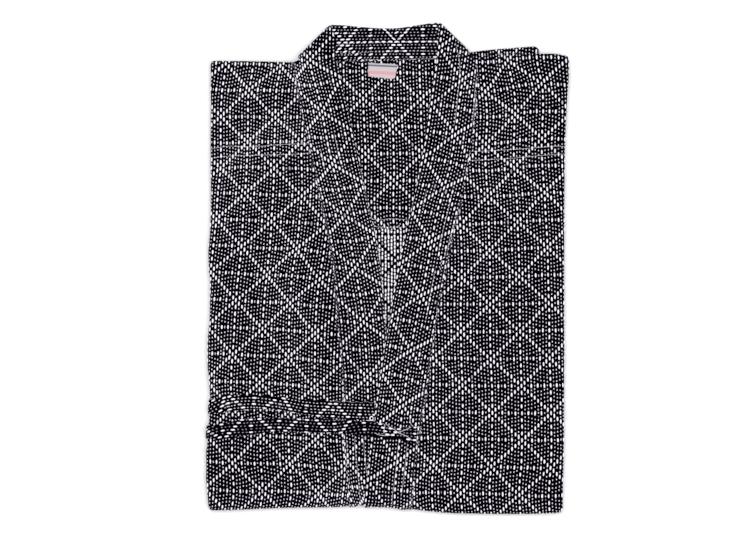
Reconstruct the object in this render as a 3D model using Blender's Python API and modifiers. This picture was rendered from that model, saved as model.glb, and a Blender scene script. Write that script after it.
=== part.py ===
"""Keikogi, laid face up and folded: cotton jacket with a quilted collar and two cloth ties.

The sides, the sleeves and the skirt are folded behind, so those hidden layers are one
rounded solid, and every piece that shows is a wall of cloth wrapped over it.
Lengths are in millimetres and become metres in the last step. X runs to the viewer's
right, Y up the garment towards its collar, Z up from the surface that it lies on.
"""
import math

import bmesh
import bpy

MM = 0.001
COLLECTION = "keikogi"

# Puts the middle of the finished garment on the origin
CENTER_X = 2.05
CENTER_Y = 1.15

# Thicknesses and clearances
CLOTH = 1.6
GAP = 0.3
CORE_TOP = 16.1
NECK_DROP = 3.8
COLLAR_THICK = 4.2
LABEL_THICK = 0.8

# The soft rise over the skirt folded behind, and the dip between the sleeves behind
SKIRT_RISE = 1.0
SLEEVE_DIP = 0.7

# Radii of the hidden layers at the folds that the outer cloth wraps, how far in from
# the outline the flat top ends at each fold, and the room under the collars at the bottom
SIDE_RADIUS = 3.1
BOTTOM_RADIUS = 7.1
NECK_RADIUS = 1.5
SIDE_LIMIT = 5.0
TOP_LIMIT = 5.4
NECK_LIMIT = 3.2
BOTTOM_LIMIT = 9.0
BOTTOM_CLEAR = 0.9

# Nominal Y of the first and last flat rows, and the steps of cloth round a fold
TOP_NOMINAL = 283.6
BOTTOM_NOMINAL = -325.0
ROWS = 22
FRONT_COLUMNS = 7
WRAP_ANGLES = [0.0, 30.0, 60.0, 90.0, 120.0, 150.0]
WRAP_STEPS = len(WRAP_ANGLES) - 1

# Across the garment, a row for each section down it
SECTION_COLUMNS = ("y", "left", "seam_under", "free_under", "free_over", "seam_over", "right")
SECTIONS = [
    (289.0, -246.5, -131.0, -71.5, 70.5, 121.5, 250.5),
    (264.0, -246.5, -127.5, -65.0, 65.5, 126.5, 251.0),
    (236.0, -246.5, -121.5, -58.5, 61.0, 125.0, 250.5),
    (208.0, -246.5, -116.5, -52.0, 57.0, 123.0, 250.0),
    (152.0, -246.5, -105.0, -40.5, 48.5, 114.5, 249.0),
    (96.0, -246.0, -93.5, -29.0, 38.0, 104.0, 248.5),
    (40.0, -248.0, -80.5, -16.0, 24.0, 90.0, 248.0),
    (-16.0, -248.5, -73.0, -8.0, 12.5, 79.0, 247.5),
    (-72.0, -248.5, -69.0, -3.5, 2.5, 68.5, 247.0),
    (-128.0, -250.0, -63.5, 1.5, -5.5, 60.5, 247.0),
    (-184.0, -249.0, -60.5, 4.5, -13.5, 53.0, 247.0),
    (-240.0, -252.0, -60.0, 5.0, -21.5, 43.5, 247.0),
    (-296.0, -252.5, -55.0, 10.0, -27.5, 37.5, 246.5),
    (-334.0, -250.5, -52.0, 13.0, -33.0, 32.0, 246.0),
]

# The folds across the shoulders and along the bottom, a row for each place across
EDGE_COLUMNS = ("x", "shoulder", "bottom")
EDGES = [
    (-250.0, 289.0, -337.0),
    (-220.0, 289.2, -336.6),
    (-130.0, 289.0, -333.8),
    (-66.0, 289.6, -333.4),
    (-50.0, 289.8, -330.6),
    (-36.0, 290.0, -328.6),
    (-22.0, 290.4, -325.8),
    (14.0, 291.6, -327.0),
    (34.0, 292.0, -333.4),
    (78.0, 293.8, -341.0),
    (120.0, 298.0, -342.6),
    (180.0, 300.0, -343.2),
    (234.0, 300.0, -341.8),
    (250.0, 295.0, -339.6),
]

# The collar band: quilting rows from its outer seam, how far it rises between them, and
# the rounding of its two edges
COLLAR_WIDTH = 65.0
QUILT_ROWS = [2.5, 14.5, 26.5, 38.5, 50.5, 62.5]
QUILT_RISE = 0.5
SEAM_TUCK = 1.2
EDGE_ROLL = 0.9
COLLAR_WRAP_ANGLES = [24.0, 48.0, 72.0, 96.0, 121.4]
COLLAR_FLOOR = 0.8

# How the collar leaves the fronts and folds back on itself at the corners of the neck.
# A row for each section: its outer point and its free point, on the collar's underside.
TURN_UNDER = [
    (-130.4, 288.4, 16.4, -71.7, 290.6, 16.4),
    (-128.0, 290.2, 16.2, -71.8, 304.0, 12.9),
    (-125.0, 291.5, 15.8, -74.0, 320.5, 8.9),
    (-121.5, 293.0, 15.2, -78.5, 336.5, 5.25),
]
TURN_OVER = [
    (119.8, 297.0, 16.4, 70.6, 294.8, 16.4),
    (118.4, 298.6, 16.2, 70.9, 307.5, 12.9),
    (115.6, 299.9, 15.8, 70.9, 322.5, 8.9),
    (112.0, 301.0, 15.0, 69.5, 338.5, 5.25),
]
FOLD_ANGLES = [40.0, 80.0, 120.0, 160.0]
FOLD_INNER = 0.15

# The collar behind the neck, a row for each section from the viewer's left to the right:
# its seam point and its free point, on its upper face
BACK_COLLAR = [
    (-121.0, 293.0, 14.8, -78.0, 336.5, 4.9),
    (-88.0, 290.6, 15.2, -58.0, 335.5, 4.9),
    (-52.0, 290.6, 15.9, -36.0, 334.3, 4.9),
    (-16.0, 291.1, 16.0, -12.0, 333.2, 4.9),
    (16.0, 292.0, 16.0, 14.0, 333.6, 4.9),
    (46.0, 293.8, 15.9, 36.0, 335.6, 4.9),
    (80.0, 296.6, 15.0, 54.0, 337.4, 4.9),
    (111.5, 301.0, 14.4, 69.0, 338.5, 4.9),
]

# Upper and lower edges of the two ties, a row for each place along them
TIE_COLUMNS = ("x", "upper", "lower")
TIE_UNDER = [
    (-243.0, -183.4, -203.4),
    (-230.0, -179.0, -201.8),
    (-216.0, -174.8, -199.5),
    (-194.0, -173.6, -197.4),
    (-172.0, -173.8, -197.0),
    (-148.0, -176.8, -199.0),
    (-122.0, -181.4, -203.0),
    (-98.0, -184.4, -207.0),
    (-76.0, -186.2, -209.6),
    (-56.0, -186.8, -210.8),
    (-36.0, -186.8, -211.6),
    (-17.5, -186.8, -213.0),
]
TIE_OVER = [
    (-245.0, -219.8, -238.2),
    (-230.0, -217.2, -238.4),
    (-212.0, -213.0, -236.2),
    (-190.0, -209.6, -233.0),
    (-166.0, -209.0, -229.0),
    (-140.0, -209.4, -228.6),
    (-116.0, -209.8, -229.2),
    (-92.0, -210.0, -229.8),
    (-72.0, -211.6, -230.4),
    (-52.0, -213.0, -231.6),
    (-38.0, -213.8, -233.2),
    (-24.0, -214.8, -234.4),
    (-14.0, -215.8, -235.6),
    (2.0, -219.4, -236.6),
    (16.0, -224.0, -238.4),
    (30.0, -221.6, -242.4),
    (40.5, -220.6, -245.0),
]

# Across a tie from its upper edge: fraction of its width, and height of its two faces
TIE_PROFILE = [(0.0, 0.9, 1.9), (0.09, 0.15, 2.8), (0.35, 0.0, 3.0),
               (0.65, 0.0, 3.0), (0.91, 0.15, 2.8), (1.0, 0.9, 1.9)]
TIE_WRAP_ANGLES = [120.0, 90.0, 60.0, 30.0]
TIE_STEP = 9.0

# The size label, its lean, the lining that carries it and the back below that lining
LABEL_LEFT = -26.5
LABEL_RIGHT = 15.0
LABEL_TOP = 288.0
LABEL_BOTTOM = 269.0
LABEL_SLOPE_TOP = 0.048
LABEL_SLOPE_BOTTOM = 0.11
LINING_END = 56.5
LINING_TUCK = 20.0
BACK_START = 78.0
BACK_END = -108.0
BACK_TUCK = 25.0

# The sleeve edge that shows past the left shoulder
SLEEVE_COLUMNS = ("x", "edge")
SLEEVE = [
    (121.5, 304.0),
    (140.0, 306.5),
    (170.0, 309.0),
    (196.0, 311.0),
    (209.0, 311.4),
    (212.5, 308.0),
]
SLEEVE_BACK = 292.5
SLEEVE_Z = 4.4
SLEEVE_RADIUS = 3.7
SLEEVE_ANGLES = [90.0, 54.0, 18.0, -18.0, -54.0, -90.0]

# Edge of the hidden layers below the wrapped cloth: how far in from the fold line, and
# how high, at the sides and shoulders and at the bottom
LAYER_COLUMNS = ("side_inset", "side_z", "bottom_inset", "bottom_z")
LAYERS = [
    (4.1, 9.3, 6.1, 2.5),
    (4.0, 8.25, 7.4, 2.1),
    (1.0, 7.3, 8.6, 1.8),
    (0.7, 5.4, 9.8, 1.5),
    (3.2, 4.3, 11.0, 1.2),
    (0.5, 3.2, 12.2, 0.9),
    (0.5, 1.2, 13.4, 0.5),
    (2.0, 0.0, 14.6, 0.0),
]
LAYER_CLEAR = 0.4
PLAIN_LAYERS = (0, 1, 4)

# The room left in that edge for the sleeve that shows
NOTCH_DEPTH = 8.5
NOTCH_LEFT = 110.0
NOTCH_RIGHT = 226.0
NOTCH_FADE = 9.0
NOTCH_TOP = 8.6


def smooth(t):
    """Rise softly from 0 to 1."""
    t = min(max(t, 0.0), 1.0)
    return t * t * (3.0 - 2.0 * t)


def mix(a, b, t):
    return a + (b - a) * t


def read(table, columns, column, at):
    """Read one column of a table along its first column, on a smooth curve."""
    first = columns[0]
    rows = sorted(table, key=lambda row: row[columns.index(first)])
    keys = [row[columns.index(first)] for row in rows]
    values = [row[columns.index(column)] for row in rows]
    if at <= keys[0]:
        return values[0]
    if at >= keys[-1]:
        return values[-1]
    k = max(i for i, key in enumerate(keys) if key <= at)
    span = keys[k + 1] - keys[k]
    t = (at - keys[k]) / span
    before = max(k - 1, 0)
    after = min(k + 2, len(keys) - 1)
    slope_a = (values[k + 1] - values[before]) / (keys[k + 1] - keys[before]) * span
    slope_b = (values[after] - values[k]) / (keys[after] - keys[k]) * span
    chord = values[k + 1] - values[k]
    return (values[k] + t * slope_a
            + t * t * (3.0 * chord - 2.0 * slope_a - slope_b)
            + t * t * t * (slope_a + slope_b - 2.0 * chord))


def section(column, y):
    return read(SECTIONS, SECTION_COLUMNS, column, y)


def shoulder(x):
    return read(EDGES, EDGE_COLUMNS, "shoulder", x)


def bottom(x):
    return read(EDGES, EDGE_COLUMNS, "bottom", x)


def top_row(x):
    """Y where the flat top starts to round over the shoulder."""
    inner = smooth((x + 118.0) / 8.0) * smooth((112.0 - x) / 8.0)
    return shoulder(x) - mix(TOP_LIMIT, NECK_LIMIT, inner)


def row_y(x, f):
    """Y of the flat row at fraction f down the garment, at a place across it."""
    return mix(top_row(x), bottom(x) + BOTTOM_LIMIT, f)


def nominal(f):
    return mix(TOP_NOMINAL, BOTTOM_NOMINAL, f)


def swell(x, y):
    """The soft rise of the top over the layers folded behind."""
    edge = min(x + 245.0, 243.0 - x, 280.0 - y, y + 322.0)
    inside = smooth(edge / 90.0)
    skirt = SKIRT_RISE * smooth((-100.0 - y) / 110.0)
    sleeves = SLEEVE_DIP * math.cos((x + 6.0) / 62.0) * smooth((y + 60.0) / 160.0)
    return inside * (skirt - sleeves)


def neck(x, y):
    """1 where the fronts part and the back shows, 0 under the fronts."""
    left = smooth((x - section("seam_under", y) - 6.0) / 10.0)
    right = smooth((section("seam_over", y) - 6.0 - x) / 10.0)
    return left * right * smooth((y + 168.0) / 40.0)


def core_top(x, y):
    """Height of the hidden layers."""
    return CORE_TOP - NECK_DROP * neck(x, y) + swell(x, y)


def corner_turn(side_step, end_step):
    """Which way a place on the edge faces: 0 out of the side, a right angle out of an end."""
    if side_step >= end_step:
        return math.radians(45.0 * end_step / side_step)
    return math.radians(90.0 - 45.0 * side_step / end_step)


def place(x, f, rise, side=0, side_step=0, end=0, end_step=0):
    """A point `rise` above the hidden layers, wrapped over their edge by whole steps."""
    y = row_y(x, f)
    z = core_top(x, y) + rise
    steps = max(side_step, end_step)
    if steps == 0:
        return (x, y, z)
    turn = corner_turn(side_step, end_step)
    angle = math.radians(WRAP_ANGLES[min(steps, WRAP_STEPS)])
    end_radius = BOTTOM_RADIUS
    if end > 0:
        end_radius = mix(SIDE_RADIUS, NECK_RADIUS, neck(x, y))
    across = math.cos(turn)
    along = math.sin(turn)
    radius = SIDE_RADIUS * across * across + end_radius * along * along
    return (x + side * (SIDE_RADIUS + rise) * across * math.sin(angle),
            y + end * (end_radius + rise) * along * math.sin(angle),
            z - (radius + rise) * (1.0 - math.cos(angle)))


def layer_point(x, f, layer, side, side_step, end, end_step):
    """A point on the layered edge below the wrapped cloth."""
    y = row_y(x, f)
    turn = corner_turn(side_step, end_step)
    across = math.cos(turn)
    along = math.sin(turn)
    side_inset, side_z, bottom_inset, bottom_z = LAYERS[layer]
    out_side = SIDE_LIMIT - side_inset
    if end < 0:
        out_end = BOTTOM_LIMIT - bottom_inset
        z = side_z * across * across + bottom_z * along * along
    else:
        notch = smooth((x - NOTCH_LEFT) / NOTCH_FADE) * smooth((NOTCH_RIGHT - x) / NOTCH_FADE)
        notch *= smooth(2.0 * (NOTCH_TOP - side_z))
        out_end = TOP_LIMIT - side_inset - NOTCH_DEPTH * notch
        z = side_z
    wave = 0.4 * math.sin(0.031 * y + 1.7 * layer) + 0.32 * math.sin(0.043 * x + 2.3 * layer)
    if layer in PLAIN_LAYERS:
        wave = 0.0
    return (x + side * (out_side - LAYER_CLEAR + wave) * across,
            y + end * (out_end - LAYER_CLEAR + wave) * along,
            z)


def material(name, color, roughness):
    mat = bpy.data.materials.new(name)
    mat.use_nodes = True
    shader = mat.node_tree.nodes["Principled BSDF"]
    shader.inputs["Base Color"].default_value = (*color, 1.0)
    shader.inputs["Roughness"].default_value = roughness
    shader.inputs["Metallic"].default_value = 0.0
    return mat


def add_object(name, mesh_points, faces, mat):
    """Make an object from points in millimetres and faces, with its normals pointing out or up."""
    bm = bmesh.new()
    verts = [bm.verts.new(((x + CENTER_X) * MM, (y + CENTER_Y) * MM, z * MM))
             for x, y, z in mesh_points]
    for face in faces:
        bm.faces.new([verts[k] for k in face])
    bm.normal_update()
    closed = all(len(edge.link_faces) == 2 for edge in bm.edges)
    highest = max(bm.faces, key=lambda face: face.calc_center_median().z)
    if closed:
        bmesh.ops.recalc_face_normals(bm, faces=bm.faces)
    elif highest.normal.z < 0.0:
        bmesh.ops.reverse_faces(bm, faces=bm.faces)
    mesh = bpy.data.meshes.new(name)
    bm.to_mesh(mesh)
    bm.free()
    mesh.shade_smooth()
    mesh.set_sharp_from_angle(angle=math.radians(50.0))
    mesh.materials.append(mat)
    obj = bpy.data.objects.new(name, mesh)
    bpy.data.collections[COLLECTION].objects.link(obj)
    return obj


def grid_faces(rows, columns, start=0):
    return [(start + r * columns + c, start + r * columns + c + 1,
             start + (r + 1) * columns + c + 1, start + (r + 1) * columns + c)
            for r in range(rows - 1) for c in range(columns - 1)]


def sheet(name, rows, mat, thickness=CLOTH):
    """A wall of cloth from an open grid of points on its outer face."""
    points = [point for row in rows for point in row]
    obj = add_object(name, points, grid_faces(len(rows), len(rows[0])), mat)
    wall = obj.modifiers.new("wall", "SOLIDIFY")
    wall.thickness = thickness * MM
    wall.offset = -1.0
    wall.use_even_offset = True
    return obj


def wall(name, outer, inner, mat):
    """A closed wall of cloth between two grids of points, its outer and its inner face."""
    height = len(outer)
    width = len(outer[0])
    points = [point for row in outer + inner for point in row]
    back = height * width
    faces = grid_faces(height, width)
    faces += [tuple(reversed(face)) for face in grid_faces(height, width, back)]
    loop = list(range(width - 1))
    loop += [r * width + width - 1 for r in range(height - 1)]
    loop += [(height - 1) * width + c for c in range(width - 1, 0, -1)]
    loop += [r * width for r in range(height - 1, 0, -1)]
    for k in range(len(loop)):
        a = loop[k]
        b = loop[(k + 1) % len(loop)]
        faces.append((a, b, back + b, back + a))
    return add_object(name, points, faces, mat)


def loft(name, rings, mat):
    """A closed solid through closed rings of equal length, capped at both ends."""
    count = len(rings[0])
    points = [point for ring in rings for point in ring]
    faces = []
    for r in range(len(rings) - 1):
        for c in range(count):
            d = (c + 1) % count
            faces.append((r * count + c, r * count + d, (r + 1) * count + d, (r + 1) * count + c))
    last = (len(rings) - 1) * count
    half = count // 2
    for base in (0, last):
        for c in range(half - 1):
            faces.append((base + c, base + c + 1, base + count - 2 - c, base + count - 1 - c))
    return add_object(name, points, faces, mat)


def row_steps():
    """Every row down the garment: its fraction, and how far it wraps over an end."""
    steps = [(0.0, 1, k) for k in range(WRAP_STEPS, 0, -1)]
    steps += [(r / ROWS, 0, 0) for r in range(ROWS + 1)]
    steps += [(1.0, -1, k) for k in range(1, WRAP_STEPS + 1)]
    return steps


def front_columns(side, f):
    """X of the flat columns of one front, from its collar seam out to its side fold."""
    y = nominal(f)
    if side < 0:
        seam = section("seam_under", y) - GAP
        fold = section("left", y) + SIDE_LIMIT
    else:
        seam = section("seam_over", y) + GAP
        fold = section("right", y) - SIDE_LIMIT
    return [mix(seam, fold, c / FRONT_COLUMNS) for c in range(FRONT_COLUMNS + 1)]


def neck_columns(f):
    """X of the columns between the two collar seams."""
    y = nominal(f)
    left = section("seam_under", y)
    right = section("seam_over", y)
    inner_left = left + 16.0
    inner_right = right - 16.0
    middle = [mix(inner_left, inner_right, k / 4.0) for k in range(5)]
    return [left + 6.0, left + 11.0] + middle + [right - 11.0, right - 6.0]


def build_folded_layers(mat):
    rows = []
    edge = {}
    for f, end, end_step in row_steps():
        left = list(reversed(front_columns(-1, f)))
        right = front_columns(1, f)
        places = [(left[0], -1, k) for k in range(WRAP_STEPS, 0, -1)]
        places += [(x, 0, 0) for x in left + neck_columns(f) + right]
        places += [(right[-1], 1, k) for k in range(1, WRAP_STEPS + 1)]
        row = []
        for x, side, side_step in places:
            edge[(len(rows), len(row))] = (x, f, side, side_step, end, end_step)
            rise = 0.0
            if f == 1.0:
                rise = -BOTTOM_CLEAR * smooth((x + 66.0) / 10.0) * smooth((40.0 - x) / 10.0)
            row.append(place(x, f, rise, side, side_step, end, end_step))
        rows.append(row)
    height = len(rows)
    width = len(rows[0])
    points = [point for row in rows for point in row]
    faces = grid_faces(height, width)
    loop = [(0, c) for c in range(width - 1)]
    loop += [(r, width - 1) for r in range(height - 1)]
    loop += [(height - 1, c) for c in range(width - 1, 0, -1)]
    loop += [(r, 0) for r in range(height - 1, 0, -1)]
    ring = [r * width + c for r, c in loop]
    for layer in range(len(LAYERS)):
        start = len(points)
        for spot in loop:
            x, f, side, side_step, end, end_step = edge[spot]
            points.append(layer_point(x, f, layer, side, side_step, end, end_step))
        below = list(range(start, start + len(loop)))
        for k in range(len(loop)):
            n = (k + 1) % len(loop)
            faces.append((ring[k], ring[n], below[n], below[k]))
        ring = below
    faces.append(tuple(ring))
    return add_object("folded_layers", points, faces, mat)


def build_front(name, side, mat):
    outer = []
    inner = []
    for f, end, end_step in row_steps():
        columns = front_columns(side, f)
        places = [(x, 0, 0) for x in columns]
        places += [(columns[-1], side, k) for k in range(1, WRAP_STEPS + 1)]
        outer.append([place(x, f, GAP + CLOTH, s, k, end, end_step) for x, s, k in places])
        inner.append([place(x, f, GAP, s, k, end, end_step) for x, s, k in places])
    return wall(name, outer, inner, mat)


def build_back_panel(mat):
    rows = []
    for r in range(8):
        y = mix(BACK_START, BACK_END, r / 7.0)
        left = section("seam_under", y) + BACK_TUCK
        right = section("seam_over", y) - BACK_TUCK
        row = []
        for c in range(7):
            x = mix(left, right, c / 6.0)
            row.append((x, y, core_top(x, y) + GAP + CLOTH))
        rows.append(row)
    return sheet("back_panel", rows, mat)


def lining_top(x, y):
    """Height of the shoulder lining's face, on the back panel."""
    return core_top(x, min(y, top_row(x))) + 2.0 * (GAP + CLOTH)


def build_shoulder_lining(mat):
    rows = []
    count = 10
    for r in range(count + 1):
        f = r / count
        y_section = mix(TOP_NOMINAL, LINING_END, f)
        left = section("seam_under", y_section) + LINING_TUCK
        right = section("seam_over", y_section) - LINING_TUCK
        row = []
        for c in range(11):
            x = mix(left, right, c / 10.0)
            y = mix(shoulder(x) - 0.2, LINING_END, f)
            row.append((x, y, lining_top(x, y)))
        rows.append(row)
    return sheet("shoulder_lining", rows, mat)


def build_size_label(mat):
    rows = []
    for r in range(4):
        row = []
        for c in range(7):
            x = mix(LABEL_LEFT, LABEL_RIGHT, c / 6.0)
            slope = mix(LABEL_SLOPE_TOP, LABEL_SLOPE_BOTTOM, r / 3.0)
            y = mix(LABEL_TOP, LABEL_BOTTOM, r / 3.0) - slope * (x - LABEL_LEFT)
            row.append((x, y, lining_top(x, y) + GAP + LABEL_THICK))
        rows.append(row)
    return sheet("size_label", rows, mat, LABEL_THICK)


def collar_profile(width):
    """Across the collar from its outer seam: distance, and height of its two faces."""
    valley = COLLAR_THICK - QUILT_RISE
    profile = [(0.0, 0.7, COLLAR_THICK - 1.1), (SEAM_TUCK, 0.0, valley)]
    for k, row in enumerate(QUILT_ROWS):
        if k > 0:
            profile.append((0.5 * (QUILT_ROWS[k - 1] + row), 0.0, COLLAR_THICK))
        profile.append((row, 0.0, valley))
    profile.append((COLLAR_WIDTH - EDGE_ROLL, 0.3, COLLAR_THICK - 0.4))
    profile.append((COLLAR_WIDTH, 1.5, COLLAR_THICK - 1.5))
    scale = width / COLLAR_WIDTH
    return [(mark * scale, under, over) for mark, under, over in profile]


def closed_ring(high, low):
    """Close a ring from its upper points and its lower points."""
    return high + list(reversed(low))


def over_rise(x, y):
    """How far the collar on top is lifted where it crosses the collar below."""
    lift = COLLAR_THICK + GAP
    return lift * smooth((section("free_under", y) + 17.0 - x) / 10.0)


def collar_ring(side, f, end=0, angle=0.0):
    """One closed ring across a front collar, wrapped over the bottom fold by an angle."""
    y_nominal = nominal(f)
    seam = section("seam_under" if side < 0 else "seam_over", y_nominal)
    free = section("free_under" if side < 0 else "free_over", y_nominal)
    low = []
    high = []
    for distance, under, over in collar_profile(abs(free - seam)):
        x = seam - side * distance
        y = row_y(x, f)
        base = CORE_TOP + GAP + swell(x, y)
        if side > 0:
            base += over_rise(x, y)
        for height, target in ((under, low), (over, high)):
            z = base + height
            radius = z - (CORE_TOP + swell(x, y)) + BOTTOM_RADIUS
            target.append((x, y + end * radius * math.sin(angle),
                           z - radius * (1.0 - math.cos(angle))))
    return closed_ring(high, low)


def bottom_angle(side):
    """How far a front collar wraps before it meets the surface below."""
    lift = COLLAR_THICK + GAP if side > 0 else 0.0
    radius = BOTTOM_RADIUS + GAP + COLLAR_THICK + lift
    middle = CORE_TOP - BOTTOM_RADIUS
    return math.acos(-(middle - COLLAR_FLOOR) / radius)


def flat_ring(outer, free, sink=0.0):
    """One closed ring across a collar from its outer point straight to its free point."""
    width = math.hypot(free[0] - outer[0], free[1] - outer[1])
    low = []
    high = []
    for distance, under, over in collar_profile(width):
        t = distance / width
        x = mix(outer[0], free[0], t)
        y = mix(outer[1], free[1], t)
        z = mix(outer[2], free[2], t) - sink
        low.append((x, y, z + under))
        high.append((x, y, z + over))
    return closed_ring(high, low)


def turn_rings(table):
    """Rings from the shoulder to the corner of the neck, then round the fold there."""
    rings = [flat_ring(row[:3], row[3:]) for row in table]
    outer_x, outer_y, outer_z, free_x, free_y, free_z = table[-1]
    width = math.hypot(free_x - outer_x, free_y - outer_y)
    away_x = -(free_y - outer_y) / width
    away_y = (free_x - outer_x) / width
    if away_y < 0.0:
        away_x = -away_x
        away_y = -away_y
    for degrees in FOLD_ANGLES:
        angle = math.radians(degrees)
        low = []
        high = []
        for distance, under, over in collar_profile(width):
            t = distance / width
            x = mix(outer_x, free_x, t)
            y = mix(outer_y, free_y, t)
            axis = mix(outer_z, free_z, t) - FOLD_INNER
            for height, target in ((under, low), (over, high)):
                radius = FOLD_INNER + height
                target.append((x + away_x * radius * math.sin(angle),
                               y + away_y * radius * math.sin(angle),
                               axis + radius * math.cos(angle)))
        rings.append(closed_ring(high, low))
    return rings


def build_front_collar(name, side, table, mat):
    rings = list(reversed(turn_rings(table)))
    rings += [collar_ring(side, r / ROWS) for r in range(ROWS + 1)]
    last = bottom_angle(side)
    angles = [math.radians(degrees) for degrees in COLLAR_WRAP_ANGLES]
    angles = [angle for angle in angles if angle < last - math.radians(8.0)] + [last]
    rings += [collar_ring(side, 1.0, -1, angle) for angle in angles]
    return loft(name, rings, mat)


def build_back_collar(mat):
    rings = [flat_ring(row[:3], row[3:], COLLAR_THICK) for row in BACK_COLLAR]
    return loft("collar_back", rings, mat)


def tie_bed(x, y):
    """Top of what a tie lies on: the front, then the collar under, then the collar over."""
    base = CORE_TOP + GAP + CLOTH + swell(x, y)
    seam = section("seam_under", y)
    free = section("free_over", y)
    base += (COLLAR_THICK - CLOTH) * smooth((x - seam + 9.0) / 7.0)
    base += (COLLAR_THICK + GAP) * smooth((x - free + 9.0) / 7.0)
    return base


def tie_ring(x, upper, lower, angle=0.0):
    """One closed ring across a tie; wrapped round the side fold it starts on that fold."""
    low = []
    high = []
    for t, under, over in TIE_PROFILE:
        y = mix(upper, lower, t)
        start = section("left", y) + SIDE_LIMIT if angle else x
        bed = tie_bed(start, y) + GAP
        for height, target in ((under, low), (over, high)):
            z = bed + height
            radius = SIDE_LIMIT + GAP + height
            target.append((start - radius * math.sin(angle), y,
                           z - radius * (1.0 - math.cos(angle))))
    return closed_ring(high, low)


def build_tie(name, table, mat):
    rings = []
    first_x, upper, lower = table[0]
    fold = section("left", 0.5 * (upper + lower)) + SIDE_LIMIT
    for degrees in TIE_WRAP_ANGLES:
        rings.append(tie_ring(fold, upper, lower, math.radians(degrees)))
    end = table[-1][0]
    count = int(round((end - first_x) / TIE_STEP))
    for k in range(count + 1):
        x = mix(first_x, end, k / count)
        rings.append(tie_ring(x, read(table, TIE_COLUMNS, "upper", x),
                              read(table, TIE_COLUMNS, "lower", x)))
    return loft(name, rings, mat)


def build_sleeve_fold(mat):
    rows = []
    for k in range(10):
        x = mix(SLEEVE[0][0], SLEEVE[-1][0], k / 9.0)
        edge = read(SLEEVE, SLEEVE_COLUMNS, "edge", x) - SLEEVE_RADIUS
        row = [(x, SLEEVE_BACK, SLEEVE_Z + SLEEVE_RADIUS)]
        for degrees in SLEEVE_ANGLES:
            angle = math.radians(degrees)
            row.append((x, edge + SLEEVE_RADIUS * math.cos(angle),
                        SLEEVE_Z + SLEEVE_RADIUS * math.sin(angle)))
        row.append((x, SLEEVE_BACK, SLEEVE_Z - SLEEVE_RADIUS))
        rows.append(row)
    return sheet("sleeve_fold", rows, mat)


def clear_scene():
    for obj in list(bpy.data.objects):
        bpy.data.objects.remove(obj, do_unlink=True)


def main():
    clear_scene()
    collection = bpy.data.collections.new(COLLECTION)
    bpy.context.scene.collection.children.link(collection)
    navy = (0.012, 0.009, 0.024)
    build_folded_layers(material("cotton_folded", navy, 0.9))
    build_back_panel(material("cotton_wrong_side", (0.55, 0.54, 0.56), 0.9))
    build_shoulder_lining(material("cotton_lining", navy, 0.9))
    build_front("front_under", -1, material("cotton_front_under", navy, 0.9))
    build_front("front_over", 1, material("cotton_front_over", navy, 0.9))
    build_front_collar("collar_under", -1, TURN_UNDER, material("cotton_collar_under", navy, 0.88))
    build_front_collar("collar_over", 1, TURN_OVER, material("cotton_collar_over", navy, 0.88))
    build_back_collar(material("cotton_collar_back", navy, 0.88))
    build_tie("tie_under", TIE_UNDER, material("cotton_tie_under", navy, 0.88))
    build_tie("tie_over", TIE_OVER, material("cotton_tie_over", navy, 0.88))
    build_sleeve_fold(material("cotton_sleeve", navy, 0.9))
    build_size_label(material("label_tape", (0.82, 0.8, 0.82), 0.7))


main()
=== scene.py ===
"""Looks of the folded keikogi: woven cloth with raised floats, quilted collar, ties and label.

Lengths are in millimetres in the same places as the solids, and become metres in `world`.
X runs to the viewer's right, Y up the garment, Z up from the surface that it lies on.
The places in the tables were measured, the weave was charted.
"""

import math

import bpy
import numpy as np
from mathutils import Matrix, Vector

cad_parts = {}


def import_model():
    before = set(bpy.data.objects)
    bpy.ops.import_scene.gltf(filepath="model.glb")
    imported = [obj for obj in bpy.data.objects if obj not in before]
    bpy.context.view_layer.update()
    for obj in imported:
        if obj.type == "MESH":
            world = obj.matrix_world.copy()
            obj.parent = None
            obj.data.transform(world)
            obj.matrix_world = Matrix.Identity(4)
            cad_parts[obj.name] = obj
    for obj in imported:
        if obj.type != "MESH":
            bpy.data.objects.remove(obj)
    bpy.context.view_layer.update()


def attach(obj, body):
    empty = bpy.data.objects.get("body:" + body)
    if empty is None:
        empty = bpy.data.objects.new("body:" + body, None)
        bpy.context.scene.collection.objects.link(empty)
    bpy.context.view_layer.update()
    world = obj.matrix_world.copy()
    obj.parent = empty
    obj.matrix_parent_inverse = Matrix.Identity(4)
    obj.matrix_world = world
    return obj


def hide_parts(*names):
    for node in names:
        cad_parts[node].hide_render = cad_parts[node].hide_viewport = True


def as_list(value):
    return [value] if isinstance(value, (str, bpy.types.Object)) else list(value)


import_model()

MM = 0.001
CENTER = np.array([2.05, 1.15, 0.0])

# Thicknesses, folds and clearances of the solids
CLOTH = 1.6
GAP = 0.3
CORE_TOP = 16.1
NECK_DROP = 3.8
COLLAR_THICK = 4.2
LABEL_THICK = 0.8
SKIRT_RISE = 1.0
SLEEVE_DIP = 0.7
SIDE_RADIUS = 3.1
BOTTOM_RADIUS = 7.1
NECK_RADIUS = 1.5
SIDE_LIMIT = 5.0
TOP_LIMIT = 5.4
NECK_LIMIT = 3.2
BOTTOM_LIMIT = 9.0
TOP_NOMINAL = 283.6
BOTTOM_NOMINAL = -325.0
FLAT_LENGTH = 610.0
WRAP_END = math.radians(150.0)
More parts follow.
